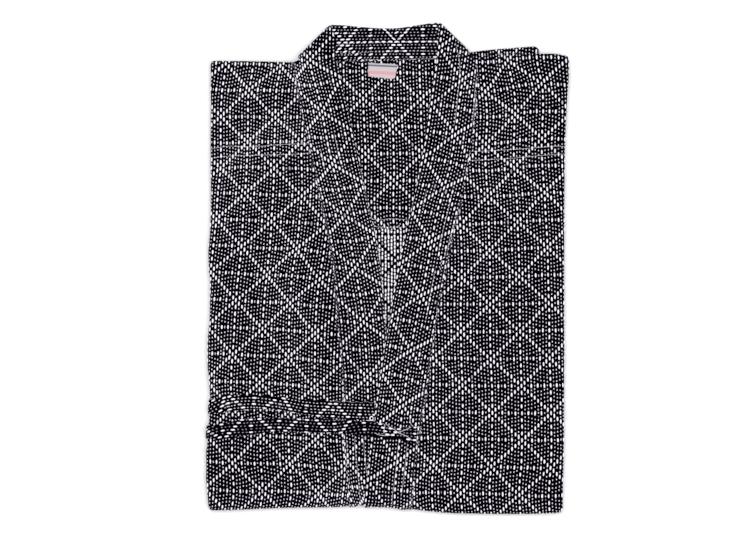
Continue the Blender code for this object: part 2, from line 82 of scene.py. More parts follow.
# The flat top's edges, and from where and over how far its swell, the skirt below it, the
# sleeves and the neck come in
FLAT_LEFT, FLAT_RIGHT, FLAT_TOP, FLAT_BOTTOM = -245.0, 243.0, 280.0, -322.0
FLAT_BLEND = 90.0
SKIRT_START, SKIRT_BLEND = -100.0, 110.0
SLEEVE_START, SLEEVE_BLEND = -60.0, 160.0
SLEEVE_MIDDLE, SLEEVE_SPREAD = -6.0, 62.0
NECK_INSET, NECK_BLEND = 6.0, 10.0
NECK_LOW, NECK_LOW_BLEND = -168.0, 40.0
NECK_LEFT, NECK_RIGHT, NECK_CORNER = -118.0, 112.0, 8.0

# Across the garment, a row for each section down it
SECTION_COLUMNS = ("y", "left", "seam_under", "free_under", "free_over", "seam_over", "right")
SECTIONS = [
    (289, -246.5, -131, -71.5, 70.5, 121.5, 252.2), (264, -246.5, -127.5, -65, 65.5, 126.5, 252.2),
    (236, -246.5, -121.5, -58.5, 61, 125, 250.5), (208, -246.5, -116.5, -52, 57, 123, 250),
    (152, -246.5, -105, -40.5, 48.5, 114.5, 249), (96, -246, -93.5, -29, 38, 104, 248.5),
    (40, -248, -80.5, -16, 24, 90, 248), (-16, -248.5, -73, -8, 13, 79, 247.5),
    (-72, -248.5, -69, -3.7, 4.4, 68.5, 247), (-128, -250, -63.5, 1.5, -5.5, 60.5, 247),
    (-184, -249, -60.5, 4.5, -13.5, 53, 247), (-240, -252, -60, 5, -21.5, 43.5, 247),
    (-296, -252.5, -55, 10, -27.5, 37.5, 246.5), (-334, -250.5, -52, 13, -33, 32, 246),
]

# The folds across the shoulders and along the bottom: x, y at the shoulder, y at the bottom
EDGES = [
    (-250, 291.5, -339.2), (-220, 291.4, -339), (-160, 290.4, -336.4), (-130, 289.8, -335.6),
    (-66, 289.6, -334.6), (-50, 289.8, -332.4), (-36, 290, -330.2), (-22, 290.4, -327.8),
    (14, 291.6, -330.1), (34, 292, -337), (78, 293.8, -342.4), (120, 298, -343.9),
    (180, 300.3, -344.5), (234, 301.4, -343.2), (250, 298.6, -341),
]

# How far the side folds wander from those lines, towards +X: y, offset
WANDER_LEFT = [
    (289, -1), (250, -0.5), (208, -0.8), (166, -1), (98, -1.1), (62, -0.7), (46, -0.9), (31, -2.2),
    (14, -2.1), (-2, -1.4), (-19, 0.4), (-36, 0.1), (-52, -0.1), (-70, -0.7), (-86, -1.7),
    (-103, -2.4), (-120, -1.9), (-137, -1.4), (-153, -0.7), (-165, 0), (-175, 0.8), (-187, 1.5),
    (-200, 0.9), (-215, 0.3), (-237, 0.2), (-246, -0.6), (-254, -1.4), (-271, -0.9), (-288, -1.3),
    (-304, -0.6), (-321, 0.3), (-334, 0.3),
]
WANDER_RIGHT = [
    (289, 2.6), (267, 2.6), (250, 2.7), (233, 2.1), (216, 1.7), (199, 1), (183, 0.6), (166, 0.3),
    (98, 0), (65, 0.3), (31, 0.4), (-2, 0.6), (-19, 0.8), (-53, 1.1), (-103, 1.5), (-153, 1.2),
    (-204, 1.1), (-237, 0.8), (-271, 0.6), (-304, 0), (-334, 0.3),
]

# The collar band: its width, and its rows of quilting from the outer seam
COLLAR_WIDTH = 65.0
QUILT_ROWS = (2.5, 14.5, 26.5, 38.5, 50.5, 62.5)
BACK_ROWS = (2.5, 17.7, 36, 53.4)
QUILT_RISE = 0.5
COLLAR_FLOOR = 0.8
# Its outline, as distance and height, at the outer seam and at the free edge
SEAM_EDGE = [(0.9, 0), (0.15, 0.7), (-0.05, 1.6), (0, 2.5), (0.5, 3.3)]
FREE_EDGE = [(64.2, 3.55), (64.8, 2.9), (65, 2.1), (64.8, 1.3), (64.2, 0.5), (63.3, 0.1)]
# Past the shoulder and behind the neck: x, y, z at the outer seam, and at the free edge
TURN_UNDER = [
    (-130.4, 288.4, 16.4, -71.7, 290.6, 16.4), (-128, 290.2, 16.2, -71.8, 304, 12.9),
    (-125, 291.5, 15.8, -74, 320.5, 8.9), (-122.6, 294, 15.2, -77.6, 339, 5.25),
]
TURN_OVER = [
    (119.8, 297, 16.4, 70.6, 294.8, 16.4), (118.4, 298.6, 16.2, 70.9, 307.5, 12.9),
    (115.6, 299.9, 15.8, 70.9, 322.5, 8.9), (112.6, 301.6, 15, 71.4, 342.6, 5.25),
]
BACK_COLLAR = [
    (-121, 293, 14.8, -78, 342, 4.9), (-88, 290.6, 15.2, -58, 341.2, 4.9),
    (-52, 290.6, 15.9, -36, 339, 4.9), (-16, 291.1, 16, -12, 337.3, 4.9),
    (16, 292, 16, 14, 337.4, 4.9), (46, 293.8, 15.9, 36, 340.4, 4.9),
    (80, 296.6, 15, 54, 343.2, 4.9), (111.5, 301, 14.4, 69, 345.2, 4.9),
]
COLLAR_STEP = 4.0
# How far past the free edge of the collar below, and over how far, the one on top comes down
OVERLAP_REACH, OVERLAP_BLEND = 17.0, 10.0
FOLD_INNER = 0.15
FOLD_END = math.radians(160.0)

# The two ties: x, y of the upper edge and y of the lower one
TIE_UNDER = [
    (-243, -183.4, -203.4), (-230, -179, -201.8), (-216, -176.6, -199.5), (-194, -177.6, -197.4),
    (-172, -178.4, -197), (-148, -180.2, -199), (-122, -183.2, -203), (-98, -184.4, -207),
    (-76, -186.2, -209.6), (-56, -186.8, -210.8), (-36, -186.8, -211.6), (-17.5, -186.8, -213),
]
TIE_OVER = [
    (-245, -219.8, -238.2), (-230, -217.2, -238.4), (-212, -213, -236.2), (-190, -209.6, -233),
    (-166, -209, -229), (-140, -209.4, -228.6), (-116, -209.8, -229.2), (-92, -210, -229.8),
    (-72, -211.6, -230.4), (-52, -213, -231.6), (-38, -213.8, -233.2), (-24, -214.8, -234.4),
    (-14, -215.8, -235.6), (2, -219.4, -236.6), (16, -224, -238.4), (30, -221.6, -242.4),
    (40.5, -220.6, -245),
]
TIE_THICK = 3.0
TIE_WIDTH = 24.0
TIE_WRAP = math.radians(120.0)
TIE_PRESSED = 0.8
# How far before a collar's edge a tie starts to climb it, and over how far it climbs
CLIMB_START, CLIMB_BLEND = 9.0, 7.0

# The size label, the lining that carries it and the back below that lining
LABEL_LEFT = -26.5
LABEL_RIGHT = 15.0
LABEL_TOP = 288.0
LABEL_BOTTOM = 269.0
LABEL_SLOPE_TOP = 0.048
LABEL_SLOPE_BOTTOM = 0.11
LABEL_LEAN = -4.2
LABEL_CORNER = 1.6
# Plain stripes across it, from its lower edge to its upper one: place and colour
LABEL_STRIPES = [
    (0.26, (0.525, 0.435, 0.455)), (0.32, (0.56, 0.305, 0.315)), (0.46, (0.56, 0.305, 0.315)),
    (0.52, (0.525, 0.435, 0.455)), (0.62, (0.46, 0.44, 0.475)), (0.74, (0.46, 0.44, 0.475)),
    (0.77, (0.11, 0.1, 0.13)), (0.84, (0.11, 0.1, 0.13)), (0.87, (0.46, 0.44, 0.475)),
]
LABEL_ENDS = (0.525, 0.44, 0.46, 1.0), (0.465, 0.455, 0.49, 1.0)
LINING_END = 56.5
LINING_TUCK = 20.0
BACK_START = 78.0
BACK_END = -108.0
BACK_TUCK = 25.0

# The sleeve edge that shows past the left shoulder: x, y
SLEEVE = [
    (107, 302), (121.5, 304), (140, 306.5), (170, 309), (196, 311), (209, 311.4), (212.5, 308),
]
SLEEVE_BACK = 292.5
SLEEVE_Z = 4.4
SLEEVE_RADIUS = 3.7

# Folds of the hidden layers that show below the wrapped cloth: how far in from the fold
# line at the sides and at the bottom, height of the middle there, and half the thickness
HIDDEN_FOLDS = {
    "sleeve_layers": (0.9, 8.6, 7.05, 2.5, 1.25),
    "panel_layers": (1.5, 10.4, 4.45, 1.6, 1.15),
    "skirt_layers": (0.7, 12, 1.75, 0.9, 1.45),
}
LAYER_LEG = 9.0
LAYER_MIDDLE = 8
THIN_END = 0.55
UNDERSIDE_INSET = 3.0
UNDERSIDE_Z = 0.95
NOTCH_DEPTH = 8.5
NOTCH_LEFT = 110.0
NOTCH_RIGHT = 226.0
NOTCH_BLEND = 9.0

# Soft creases: middle, lean from X in degrees, half length, half width and height
CREASES_UNDER = [
    (-136, 262, 128, 26, 6, 0.5), (-134, 226, 158, 24, 6.5, -0.45),
    (-124, 188, 165, 22, 5.5, 0.55), (-118, 151, 172, 26, 7, 0.4), (-106, 104, 163, 21, 5.5, 0.6),
    (-102, 71, 170, 25, 6.5, -0.4), (-93, 22, 168, 23, 6, 0.5), (-88, -31, 176, 28, 7.5, 0.45),
    (-84, -78, 172, 22, 6, 0.55), (-80, -128, 176, 24, 7, -0.35), (-76, -268, 174, 26, 7, 0.5),
    (-214, 180, 82, 74, 11, 0.6), (-196, 30, 96, 88, 13, 0.55), (-226, -92, 88, 62, 10, 0.5),
    (-150, -70, 101, 92, 14, 0.5), (-176, -291, 172, 60, 10, 0.5), (-226, 262, 40, 34, 9, 0.6),
    (-190, 272, 158, 48, 8, -0.4),
]
CREASES_OVER = [
    (136, 268, 48, 28, 6.5, 0.5), (138, 232, 20, 24, 6, -0.4), (134, 197, 12, 22, 6, 0.55),
    (124, 158, 16, 26, 7, 0.45), (116, 112, 10, 22, 5.5, 0.6), (110, 66, 14, 26, 7, -0.4),
    (96, 21, 9, 24, 6, 0.5), (90, -28, 12, 27, 7, 0.5), (82, -83, 6, 22, 6, 0.6),
    (74, -139, 10, 25, 7.5, 0.45), (68, -196, 4, 27, 7, 0.5), (58, -250, 8, 22, 6, -0.4),
    (52, -300, 5, 25, 7, 0.5), (215, 190, 97, 80, 12, 0.6), (176, 44, 86, 96, 14, 0.5),
    (226, -60, 92, 70, 11, 0.55), (150, -152, 80, 86, 14, 0.5), (196, -232, 95, 66, 12, 0.45),
    (140, -300, 8, 64, 10, 0.5), (222, 268, 138, 36, 9, 0.6),
]

# The weave: distance between columns of floats and between rows, and one quarter of the
# repeat, which is 18 columns by 56 rows and is mirrored both ways: a column's rows by kind
COLUMN_PITCH = 4.6
ROW_PITCH = 1.36
REPEAT_COLUMNS = 18
REPEAT_ROWS = 56
FIELD_SLACK = 0.04
BAND_PITCH = 4.4
BACK_PITCH = 4.34
# Columns and rows to spare round a panel, rows past a band's ends and past the wrong side's,
# and the shortest thread that shows on the wrong side, in rows
FIELD_SPARE = (6, 20)
BAND_SPARE = 70.0
WRONG_SPARE = 30
LEAST_BEAD = 0.6
# Waver of the rows from column to column, and noise of floats: rows, columns, lean, length,
# width and tone
ROW_WAVER = 0.22
ROW_NOISE, COLUMN_NOISE = 0.13, 0.035
LEAN_NOISE, LENGTH_NOISE, WIDTH_NOISE, TONE_NOISE = 0.035, 0.05, 0.06, 0.07
# How many floats are faded, and to which part of their tone
FADED_SHARE = 0.02
FADED = (0.35, 0.75)
KINDS = ("long", "short", "dim")
WEAVE = [
    (0, (0, 7, 14, 21, 28), (), ()), (1, (3.1,), (8.6, 12.4, 16.4, 20.2, 24.2, 28), ()),
    (2, (6.1, 28), (0, 11.6, 15.6, 19.4, 23.4), ()), (3, (0, 9.3), (4.6, 14.8, 18.8, 22.6), (28,)),
    (4, (12.4, 28), (0, 3.5, 7, 17.8, 21.8), ()),
]

# Floats: length, width, height, how many steps along one, and tone
FLOATS = {
    "long": (6.6, 2.65, 0.85, 6, 0.96),
    "short": (2.75, 1.75, 0.55, 4, 0.79),
    "dim": (4.2, 1.7, 0.45, 4, 0.72),
    "bead": (5.0, 2.55, 0.8, 8, 1.0),
    "stitch": (3.0, 0.8, 0.4, 4, 1.0),
    "back_stitch": (3.6, 1.0, 0.55, 4, 1.0),
    "snag": (2.6, 0.95, 0.5, 4, 1.0),
}
FLOAT_SUNK = 0.25
LOWEST = 0.05
# Half of a float's length in rows, as the wrong side sees it
HALF_ROWS = {"long": 1.4, "short": 0.08, "dim": 0.05}

# Crossings of the diamonds on each piece: column, first row, then x and y of each row
CROSSINGS_OVER = [
    (-1, 3, 64.6, -125.4, 64.6, -162.5, 64.5, -199.9, 66.1, -236.8, 65, -275.2, 62.6, -313.6),
    (0, -2, 102.6, 61, 104.3, 24.4, 104.3, -12.6, 103.2, -50, 103.2, -88.3, 104, -126.1, 105.5,
     -163.6, 105.9, -201.1, 106.1, -238.4, 104.4, -276.7, 102.8, -314.8),
    (1, -7, 137.3, 247.3, 140.1, 211.8, 138.1, 174.3, 138.1, 136.8, 141.1, 101, 142, 63.4, 143.2,
     25.5, 144.3, -12.1, 144, -50.3, 144.3, -88.8, 144.9, -127, 146.7, -164.6, 147.2, -202.2,
     147.1, -239.2, 145.6, -277.3, 143.2, -315.6),
    (2, -8, 168.6, 291.7, 176.7, 254.3, 179, 216.2, 177.5, 178.1, 177.9, 140.4, 180.9, 102.8,
     182.7, 65.1, 184.1, 27.2, 185, -11.2, 185.6, -49.7, 186, -88.3, 186.7, -126.5, 188, -164.4,
     188.6, -202.8, 188.8, -240.6, 187.3, -279.1, 184.7, -317.4),
    (3, -8, 209.1, 296, 216.2, 258.8, 218.3, 220.5, 216.6, 182, 217.1, 144.4, 220.2, 106.7, 222.4,
     68.1, 224.4, 29.8, 225.5, -8.8, 226.5, -48.1, 227.2, -86.6, 227.4, -125.4, 229, -163.8, 229.7,
     -202.3, 230.2, -240.4, 228.9, -279.2, 226.4, -319),
]
CROSSINGS_UNDER = [
    (-2, -8, -225.8, 286.9, -230.9, 249.7, -232.9, 212.7, -232.9, 175.6, -233.2, 140.5, -237,
     105.4, -239.2, 69, -243.2, 32.6, -247.1, -4.7, -250.1, -42.8, -253, -80.9),
    (-1, -8, -187, 286.3, -193.5, 250.1, -194.8, 212.4, -195.5, 177, -196.7, 142.2, -199.1, 105.3,
     -201.9, 68.3, -204, 30.9, -208.3, -6.8, -211.8, -44.6, -214, -82.5, -216.4, -120.2, -218.9,
     -158.6),
    (-1, 7, -217, -272.9, -214.8, -311.8),
    (0, -8, -149.3, 283.9, -155.3, 249.2, -156.6, 211.3, -158.1, 177.7, -158.3, 140.5, -159.8, 103,
     -162, 65.9, -164.5, 27.8, -168.7, -9.3, -172.2, -47.1, -174.8, -84.2, -176.7, -122.2, -178.5,
     -159.8),
    (0, 6, -177.1, -234.2, -176.8, -273, -174.5, -311.9),
    (1, -6, -117.4, 212, -119.8, 177.4, -119.7, 139.6, -119.6, 101.9, -123.1, 64.4, -127.3, 27.8,
     -133.5, -10.1, -136, -48.4, -137.7, -86.4, -138, -124.4, -140.3, -162.3),
    (1, 6, -137.8, -236.4, -136.5, -274.4, -134.2, -312.6),
    (2, -2, -84.5, 60.9, -88.8, 22.2, -94.9, -15.2, -98.9, -52.9, -101, -90.7, -101.3, -128.7,
     -101.9, -166.2),
    (2, 6, -100.7, -239.1, -98.8, -277.3, -96.1, -315.7),
    (3, 3, -61, -131.6, -61.5, -168.6),
    (3, 6, -61.9, -242.6, -59.4, -281.2),
]
CROSSINGS_LINING = [
    (0, -3, -34.6, 276, -33.6, 238.3, -32, 199.7, -30.6, 160.7, -30.8, 122.5),
    (1, -2, 6.1, 238, 7.8, 199.5, 9.3, 161.2, 9.4, 123.2, 8.4, 85),
    (2, -3, 45.4, 273.3, 46.8, 237.2, 47.9, 198.5, 49.4, 160.8),
]
CROSSINGS_COLLAR_UNDER = [
    (-0.5, 1, -118, 256.8, -109.4, 219.9, -103, 183.8, -95.9, 146.8, -86.9, 110.5, -78.4, 74.9,
     -70.8, 38.4, -64.1, 1.6, -57.6, -36, -52.5, -74.4, -49.5, -112.3, -47.1, -151, -45.4, -188.9,
     -42.5, -227.4, -41.6, -266.4, -40.4, -306.2),
    (0, 0, -108.2, 292, -100.2, 256.5, -91.1, 219.7, -85.1, 183, -76.7, 146.2, -68, 109.9, -59.5,
     74.2, -51.8, 37.4, -45, 0.6, -38.3, -37.6, -32.8, -75.8, -29.9, -114.5, -27.7, -152.3, -26.1,
     -190, -22, -229.6, -22.1, -268.1, -22.7, -307),
    (0.5, 1, -82.8, 261.5, -73.3, 224.4, -65.6, 186.9, -58.2, 150.5, -49.4, 114.8, -40.2, 78.4,
     -32.6, 42.3, -25.7, 5.5, -18.9, -31.6, -13.4, -70.3, -10.4, -109.4, -8.1, -148, -6.6, -186.2,
     -2.9, -226.3, -2.8, -266.7, -2.8, -306.5),
]
CROSSINGS_COLLAR_OVER = [
    (-0.5, 0, 86.3, 266.1, 81.7, 227.5, 76.6, 189.8, 70.2, 152.1, 60.7, 115.5, 51.1, 78.9, 43.1,
     41.3, 36, 3.8, 28.4, -34, 20.8, -72, 14.1, -110.2, 8.6, -148.4, 4, -187.1, -0.4, -225.9, -4.4,
     -264.1, -7.8, -302.9, -10.9, -341.6),
    (0, 0, 105.4, 264.7, 100.1, 226.1, 95.1, 187.9, 89.4, 149.5, 79.6, 112.9, 69.7, 76.4, 62.4,
     38.4, 56, 0.8, 48.1, -37.2, 40.3, -75.8, 33.4, -114.7, 27.4, -152.8, 22.2, -191.6, 17.9, -231,
     14.6, -270.4, 10.8, -309.3, 8, -347.1),
    (0.5, 0, 122.8, 257.6, 117.8, 218.8, 112.7, 179.7, 106.4, 141.6, 97.2, 104.8, 87.7, 67.9, 80.2,
     30.3, 73.2, -7.9, 65.6, -46.3, 57.8, -84.7, 50.9, -123.1, 44.8, -161.2, 40.1, -196.6, 36.2,
     -235.4, 33.3, -274.5, 30.6, -311.8, 28.5, -348.2),
]
# Lines of crossings along the bands: row, x, y
LINE_COLLAR_BACK = [(0, -59, 317), (56, 13.1, 318), (112, 88, 318.4)]
LINE_TIE_UNDER = [
    (-14, -243.8, -184.7), (0, -225.5, -175.8), (28, -186.1, -172.3), (56, -147.9, -176.8),
    (84, -112.1, -182.9), (112, -75.5, -185), (140, -37.7, -186.3),
]
LINE_TIE_OVER = [
    (-14, -246.6, -245.8), (0, -228.7, -240), (28, -189.6, -237.8), (56, -151.3, -235.5),
    (84, -113.6, -238.2), (112, -72.7, -239.3), (140, -31.7, -233.7), (168, 3.3, -236.7),
]
LINE_BACK = [
    (0, 15.2, 84.8), (28, 14.9, 47.8), (56, 15.2, 10.7), (84, 15, -26.3), (112, 15.2, -63.2),
]

# Stitched rows on the fronts, which hold the hem of the shoulder lining, and that hem itself
HEM_UNDER = [
    [(-262, 166), (-246.6, 167.2), (-234, 170), (-220, 171.4), (-194.8, 170), (-173.8, 171.4),
     (-161.2, 172.8), (-136, 174.2), (-112.2, 174.2)],
    [(-262, 153.6), (-246.6, 154.3), (-231.2, 156.7), (-206, 158.1), (-171, 158.8), (-122, 160.2),
     (-108.7, 161.6)],
]
HEM_OVER = [
    [(118, 164), (137, 164.4), (158, 165.8), (179, 166.5), (200, 168.6), (221, 170),
     (239.2, 171.4), (249, 170.7), (264, 171)],
    [(116, 151.1), (130, 151.8), (158, 153.2), (179, 154.6), (193, 156), (214, 158.1),
     (242, 160.2), (264, 160.2)],
]
HEM_LINING = [
    [(-32, 69.3), (-22.6, 68.8), (-17, 68.5), (-5.8, 68.5), (4, 69.6), (13.8, 69.2), (25, 68.5),
     (36, 66.4)],
    [(-30, 60.8), (-18.4, 59.1), (-12.8, 58.2), (-4.4, 58), (4, 57.8), (12.4, 57.8), (20.8, 57.8),
     (32, 59)],
]

# Where the quilting of a collar lies on the surface: row, and from which Y to which
QUILTING_UNDER = [
    (1, 166, 143), (2, 182, 156), (3, 186, 150), (1, -55, -66), (2, -52, -70), (3, -56, -64),
    (2, -108, -122), (3, -112, -118), (1, -236, -324), (2, -239, -286),
]
QUILTING_OVER = [
    (2, 313, 202), (1, 110, 27), (4, 107, 89), (1, -2, -72), (2, -244, -333), (1, -247, -316),
    (0, 262, 204), (0, 60, 24),
]
QUILTING_BACK = [
    [(-70.2, 313.5), (-52, 315.9), (-24, 316.8), (8.2, 317), (25, 317.7), (43.2, 318.4),
     (71.2, 318.4)],
    [(-66, 300.9), (-52, 301.2), (-35.2, 301.9), (-24, 303.7), (-3, 303.7), (25, 305.1),
     (39, 305.3), (69.8, 304.4)],
    [(-59, 292.1), (-38, 292.5), (-17, 292.9), (18, 292.9), (32, 293.2), (60, 293.5),
     (71.2, 293.9)],
]
BACK_QUILTING_TONES = (0.74, 0.6, 0.7)
BACK_STITCH_PITCH = 5.3
BACK_STITCH_LEAN = 32.0

# How strongly the outer seams of the collars bunch up the threads beside them: y, strength
BUNCHED_UNDER = [
    (290, 0.7), (250, 0.75), (222, 0.35), (170, 0.3), (138, 0.6), (96, 0.8), (40, 0.7),
    (-20, 0.85), (-74, 0.6), (-110, 0.5), (-160, 0.75), (-190, 0.7), (-236, 0.35), (-280, 0.5),
    (-330, 0.35),
]
BUNCHED_OVER = [
    (290, 0.8), (262, 0.95), (226, 0.8), (196, 0.4), (140, 0.35), (100, 0.7), (74, 0.95),
    (30, 0.95), (-26, 0.8), (-76, 0.6), (-120, 0.75), (-180, 0.6), (-222, 0.8), (-270, 0.5),
    (-330, 0.6),
]
# From which y to which and how far apart, and the noise of x, y and lean in degrees
SNAG_STEPS = (286.0, -332.0, -4.2)
SNAG_NOISE = (0.55, 1.1, 34.0)
SNAG_STRETCH = (0.55, 1.35)
SNAG_TONE = 0.6

# A pale thread that winds along the seam of the collar on top, and threads that lean where
# the lining's hem catches them: x, y, lean from X in degrees, stretch and tone
WINDING_OVER = [
    (100.8, 81.5, 62, 1.5, 0.9), (99.4, 76.4, 84, 1.4, 1), (99, 71, 98, 1.3, 0.9),
    (98.2, 66, 80, 1.4, 1), (96.2, 61, 60, 1.4, 0.9), (93.2, 57, 52, 1.3, 0.85),
    (90.8, 52.6, 74, 1.4, 1), (90, 47.2, 92, 1.4, 0.9), (90.2, 41.8, 96, 1.3, 0.9),
    (89, 36.8, 66, 1.4, 1), (86, 32.8, 44, 1.3, 0.8), (83.2, 29.4, 60, 1.2, 0.9),
    (81.8, 24.8, 82, 1.4, 1), (81, 19.4, 78, 1.4, 0.85), (78.6, 14.8, 56, 1.3, 0.9),
    (76.4, 10, 74, 1.4, 0.9), (75.8, 4.6, 88, 1.4, 0.8), (74.6, -0.6, 70, 1.3, 0.9),
    (71.6, -60, 64, 1.4, 0.7), (69.4, -64.8, 78, 1.3, 0.8), (69, -70, 96, 1.3, 0.7),
    (57.6, -176, 66, 1.3, 0.8), (55.8, -181, 80, 1.4, 0.9), (55, -186.2, 84, 1.4, 0.8),
    (54.6, -191.6, 76, 1.4, 0.9), (52.6, -196.6, 62, 1.3, 0.8), (50.2, -201.4, 70, 1.3, 0.8),
]
LEANING_LINING = [
    (-8.6, 63.6, -58, 1.6, 0.9), (-3.7, 59.6, -60, 1.6, 1), (8.2, 65, -72, 1.5, 0.9),
    (9.8, 58.8, 62, 1.5, 1), (16.6, 59.8, 55, 1.4, 0.8), (-14, 66.4, -50, 1.4, 0.8),
    (-19, 62, -40, 1.3, 0.7), (22.4, 62.4, 48, 1.4, 0.8), (2, 61.4, -66, 1.3, 0.8),
]
# Chevrons on the collar below the ties
CHEVRON_X = (-60.6, -56.2)
CHEVRON_TOP = -236.4
CHEVRON_PITCH = 4.7
CHEVRON_COUNT = 18

# Loose threads where the tie on top is sewn down: their places from above
TIE_THREADS = {
    "cross_down": [(-2.4, -216.4), (3.6, -221.7), (11.5, -226.2), (14.9, -229), (19.4, -231.1),
        (27.6, -234.6), (34.4, -239.9)],
    "cross_up": [(33, -221.7), (25, -225.7), (14.9, -229), (8.9, -231.1), (2.2, -233.2),
        (-5, -233.4), (-11.5, -232.4), (-16.5, -230.4)],
    "edge": [(-80, -185.8), (-73, -185.1), (-66, -186.9), (-60, -185.5), (-54.8, -186.1),
        (-48, -187.7), (-42.2, -186.5), (-36, -187.8), (-29.6, -186), (-23, -187.9),
        (-17, -186.9)],
    "side": [(-3.1, -218.3), (-4.1, -224.1), (-4.5, -230.4)],
    "loop": [(31.7, -207.7), (32.1, -213), (33.2, -217.5), (36.2, -221.1), (40.7, -222),
        (45, -221.1)],
    "tuft_long": [(38.2, -238.6), (40.9, -242.5), (43.9, -244.4)],
    "tuft_short": [(41.6, -239), (41.2, -242), (39.4, -245.2)],
}
RING_PLACE = (-21.8, -209.6)
RING_RADIUS = 2.4
RING_THICK = 0.8
THREAD_RADIUS = 0.42
THREAD_TONE = 0.95
EDGE_THREAD = (0.3, 0.45)

# The camera: height above the cloth, the width that it frames there, and its middle
CAMERA_HEIGHT = 5.0
FRAME_WIDTH = 1.05
CLOTH_TOP = 0.019
CAMERA_X = -0.01496
CAMERA_Y = -0.00872
SENSOR = 36.0
FLOOR = 14.0
LIGHTS = {"key": ((-0.4, 0.6, 2.9), 1.8, 44.0), "fill": ((0.7, -0.4, 2.8), 2.0, 34.0)}

SHELL_STEP = 3.6
COARSE = 3
BEAD_LENGTH = 5.3
STITCH_PITCH = 2.75
STITCH_HIDDEN = 0.05
HIDDEN_SHARE = 0.4
FADE_OUT = 6.0
PITCH_NOISE = 0.06
# How far off the cloth a float's or a stitch's place may be
OFF_FLOAT = 0.6
OFF_STITCH = 0.8
SEED = 20

cloths = {}
made = {}


def smooth(t):
    t = np.clip(t, 0.0, 1.0)
    return t * t * (3.0 - 2.0 * t)


def mix(a, b, t):
    return a + (b - a) * t


def stack(*parts):
    """Coordinates side by side, each spread to the shape of the others."""
    return np.stack(np.broadcast_arrays(*parts), axis=-1)


def unit(ways):
    return ways / np.maximum(np.linalg.norm(ways, axis=-1, keepdims=True), 1e-9)


def cross(a, b):
    return a[..., 0] * b[..., 1] - a[..., 1] * b[..., 0]


def run_along(path):
    """How far along a path, or along each of many, its points are."""
    legs = np.linalg.norm(np.diff(path, axis=-2), axis=-1)
    return np.insert(np.cumsum(legs, axis=-1), 0, 0.0, axis=-1)


def steps(start, end, size):
    return np.linspace(start, end, max(2, int(round(abs(end - start) / size)) + 1))


def read(table, column, at):
    """One column of a table along its first one, on a smooth curve."""
    rows = np.array(table, dtype=float)
    rows = rows[rows[:, 0].argsort()]
    keys, values = rows[:, 0], rows[:, column]
    at = np.clip(np.asarray(at, dtype=float), keys[0], keys[-1])
    k = np.clip(np.searchsorted(keys, at, side="right") - 1, 0, len(keys) - 2)
    before = np.maximum(k - 1, 0)
    after = np.minimum(k + 2, len(keys) - 1)
    span = keys[k + 1] - keys[k]
    t = (at - keys[k]) / span
    slope_a = (values[k + 1] - values[before]) / (keys[k + 1] - keys[before]) * span
    slope_b = (values[after] - values[k]) / (keys[after] - keys[k]) * span
    chord = values[k + 1] - values[k]
    return (values[k] + t * slope_a + t * t * (3.0 * chord - 2.0 * slope_a - slope_b)
            + t * t * t * (slope_a + slope_b - 2.0 * chord))


def curve(keys, points, at):
    """Points on a smooth curve through others."""
    table = np.column_stack([keys, points])
    return stack(*(read(table, k, at) for k in range(1, table.shape[1])))


def section(column, y):
    return read(SECTIONS, SECTION_COLUMNS.index(column), y)


def side_fold(side, y):
    """Where a side fold starts on the flat top."""
    column, wander = ("left", WANDER_LEFT) if side < 0 else ("right", WANDER_RIGHT)
    return section(column, y) + read(wander, 1, y) - side * SIDE_LIMIT


def shoulder(x):
    return read(EDGES, 1, x)


def bottom(x):
    return read(EDGES, 2, x)


def top_row(x):
    """Where the fold across the shoulders starts, which is tighter across the neck."""
    inner = smooth((x - NECK_LEFT) / NECK_CORNER) * smooth((NECK_RIGHT - x) / NECK_CORNER)
    return shoulder(x) - mix(TOP_LIMIT, NECK_LIMIT, inner)


def row_y(x, f):
    return mix(top_row(x), bottom(x) + BOTTOM_LIMIT, f)


def nominal(f):
    return mix(TOP_NOMINAL, BOTTOM_NOMINAL, f)


def swell(x, y):
    """The skirt's layers lift the flat top, and it dips between the sleeves."""
    edge = np.minimum(np.minimum(x - FLAT_LEFT, FLAT_RIGHT - x),
                      np.minimum(FLAT_TOP - y, y - FLAT_BOTTOM))
    skirt = SKIRT_RISE * smooth((SKIRT_START - y) / SKIRT_BLEND)
    sleeves = (SLEEVE_DIP * np.cos((x - SLEEVE_MIDDLE) / SLEEVE_SPREAD)
               * smooth((y - SLEEVE_START) / SLEEVE_BLEND))
    return smooth(edge / FLAT_BLEND) * (skirt - sleeves)


def neck(x, y):
    """How far a place is inside the neck, from 0 to 1."""
    left = smooth((x - section("seam_under", y) - NECK_INSET) / NECK_BLEND)
    right = smooth((section("seam_over", y) - NECK_INSET - x) / NECK_BLEND)
    return left * right * smooth((y - NECK_LOW) / NECK_LOW_BLEND)


def core_top(x, y):
    return CORE_TOP - NECK_DROP * neck(x, y) + swell(x, y)


def lining_top(x, y):
    return core_top(x, np.minimum(y, top_row(x))) + 2.0 * (GAP + CLOTH)


def tie_bed(x, y):
    """The top of what a tie lies on: the front, then one collar, then both."""
    base = CORE_TOP + GAP + CLOTH + swell(x, y)
    first, second = (smooth((x - section(edge, y) + CLIMB_START) / CLIMB_BLEND)
                     for edge in ("seam_under", "free_over"))
    return base + (COLLAR_THICK - CLOTH) * first + (COLLAR_THICK + GAP) * second


def notch(x):
    """How far the hidden layers draw back to leave room for the sleeve edge."""
    left, right = smooth((x - NOTCH_LEFT) / NOTCH_BLEND), smooth((NOTCH_RIGHT - x) / NOTCH_BLEND)
    return NOTCH_DEPTH * left * right


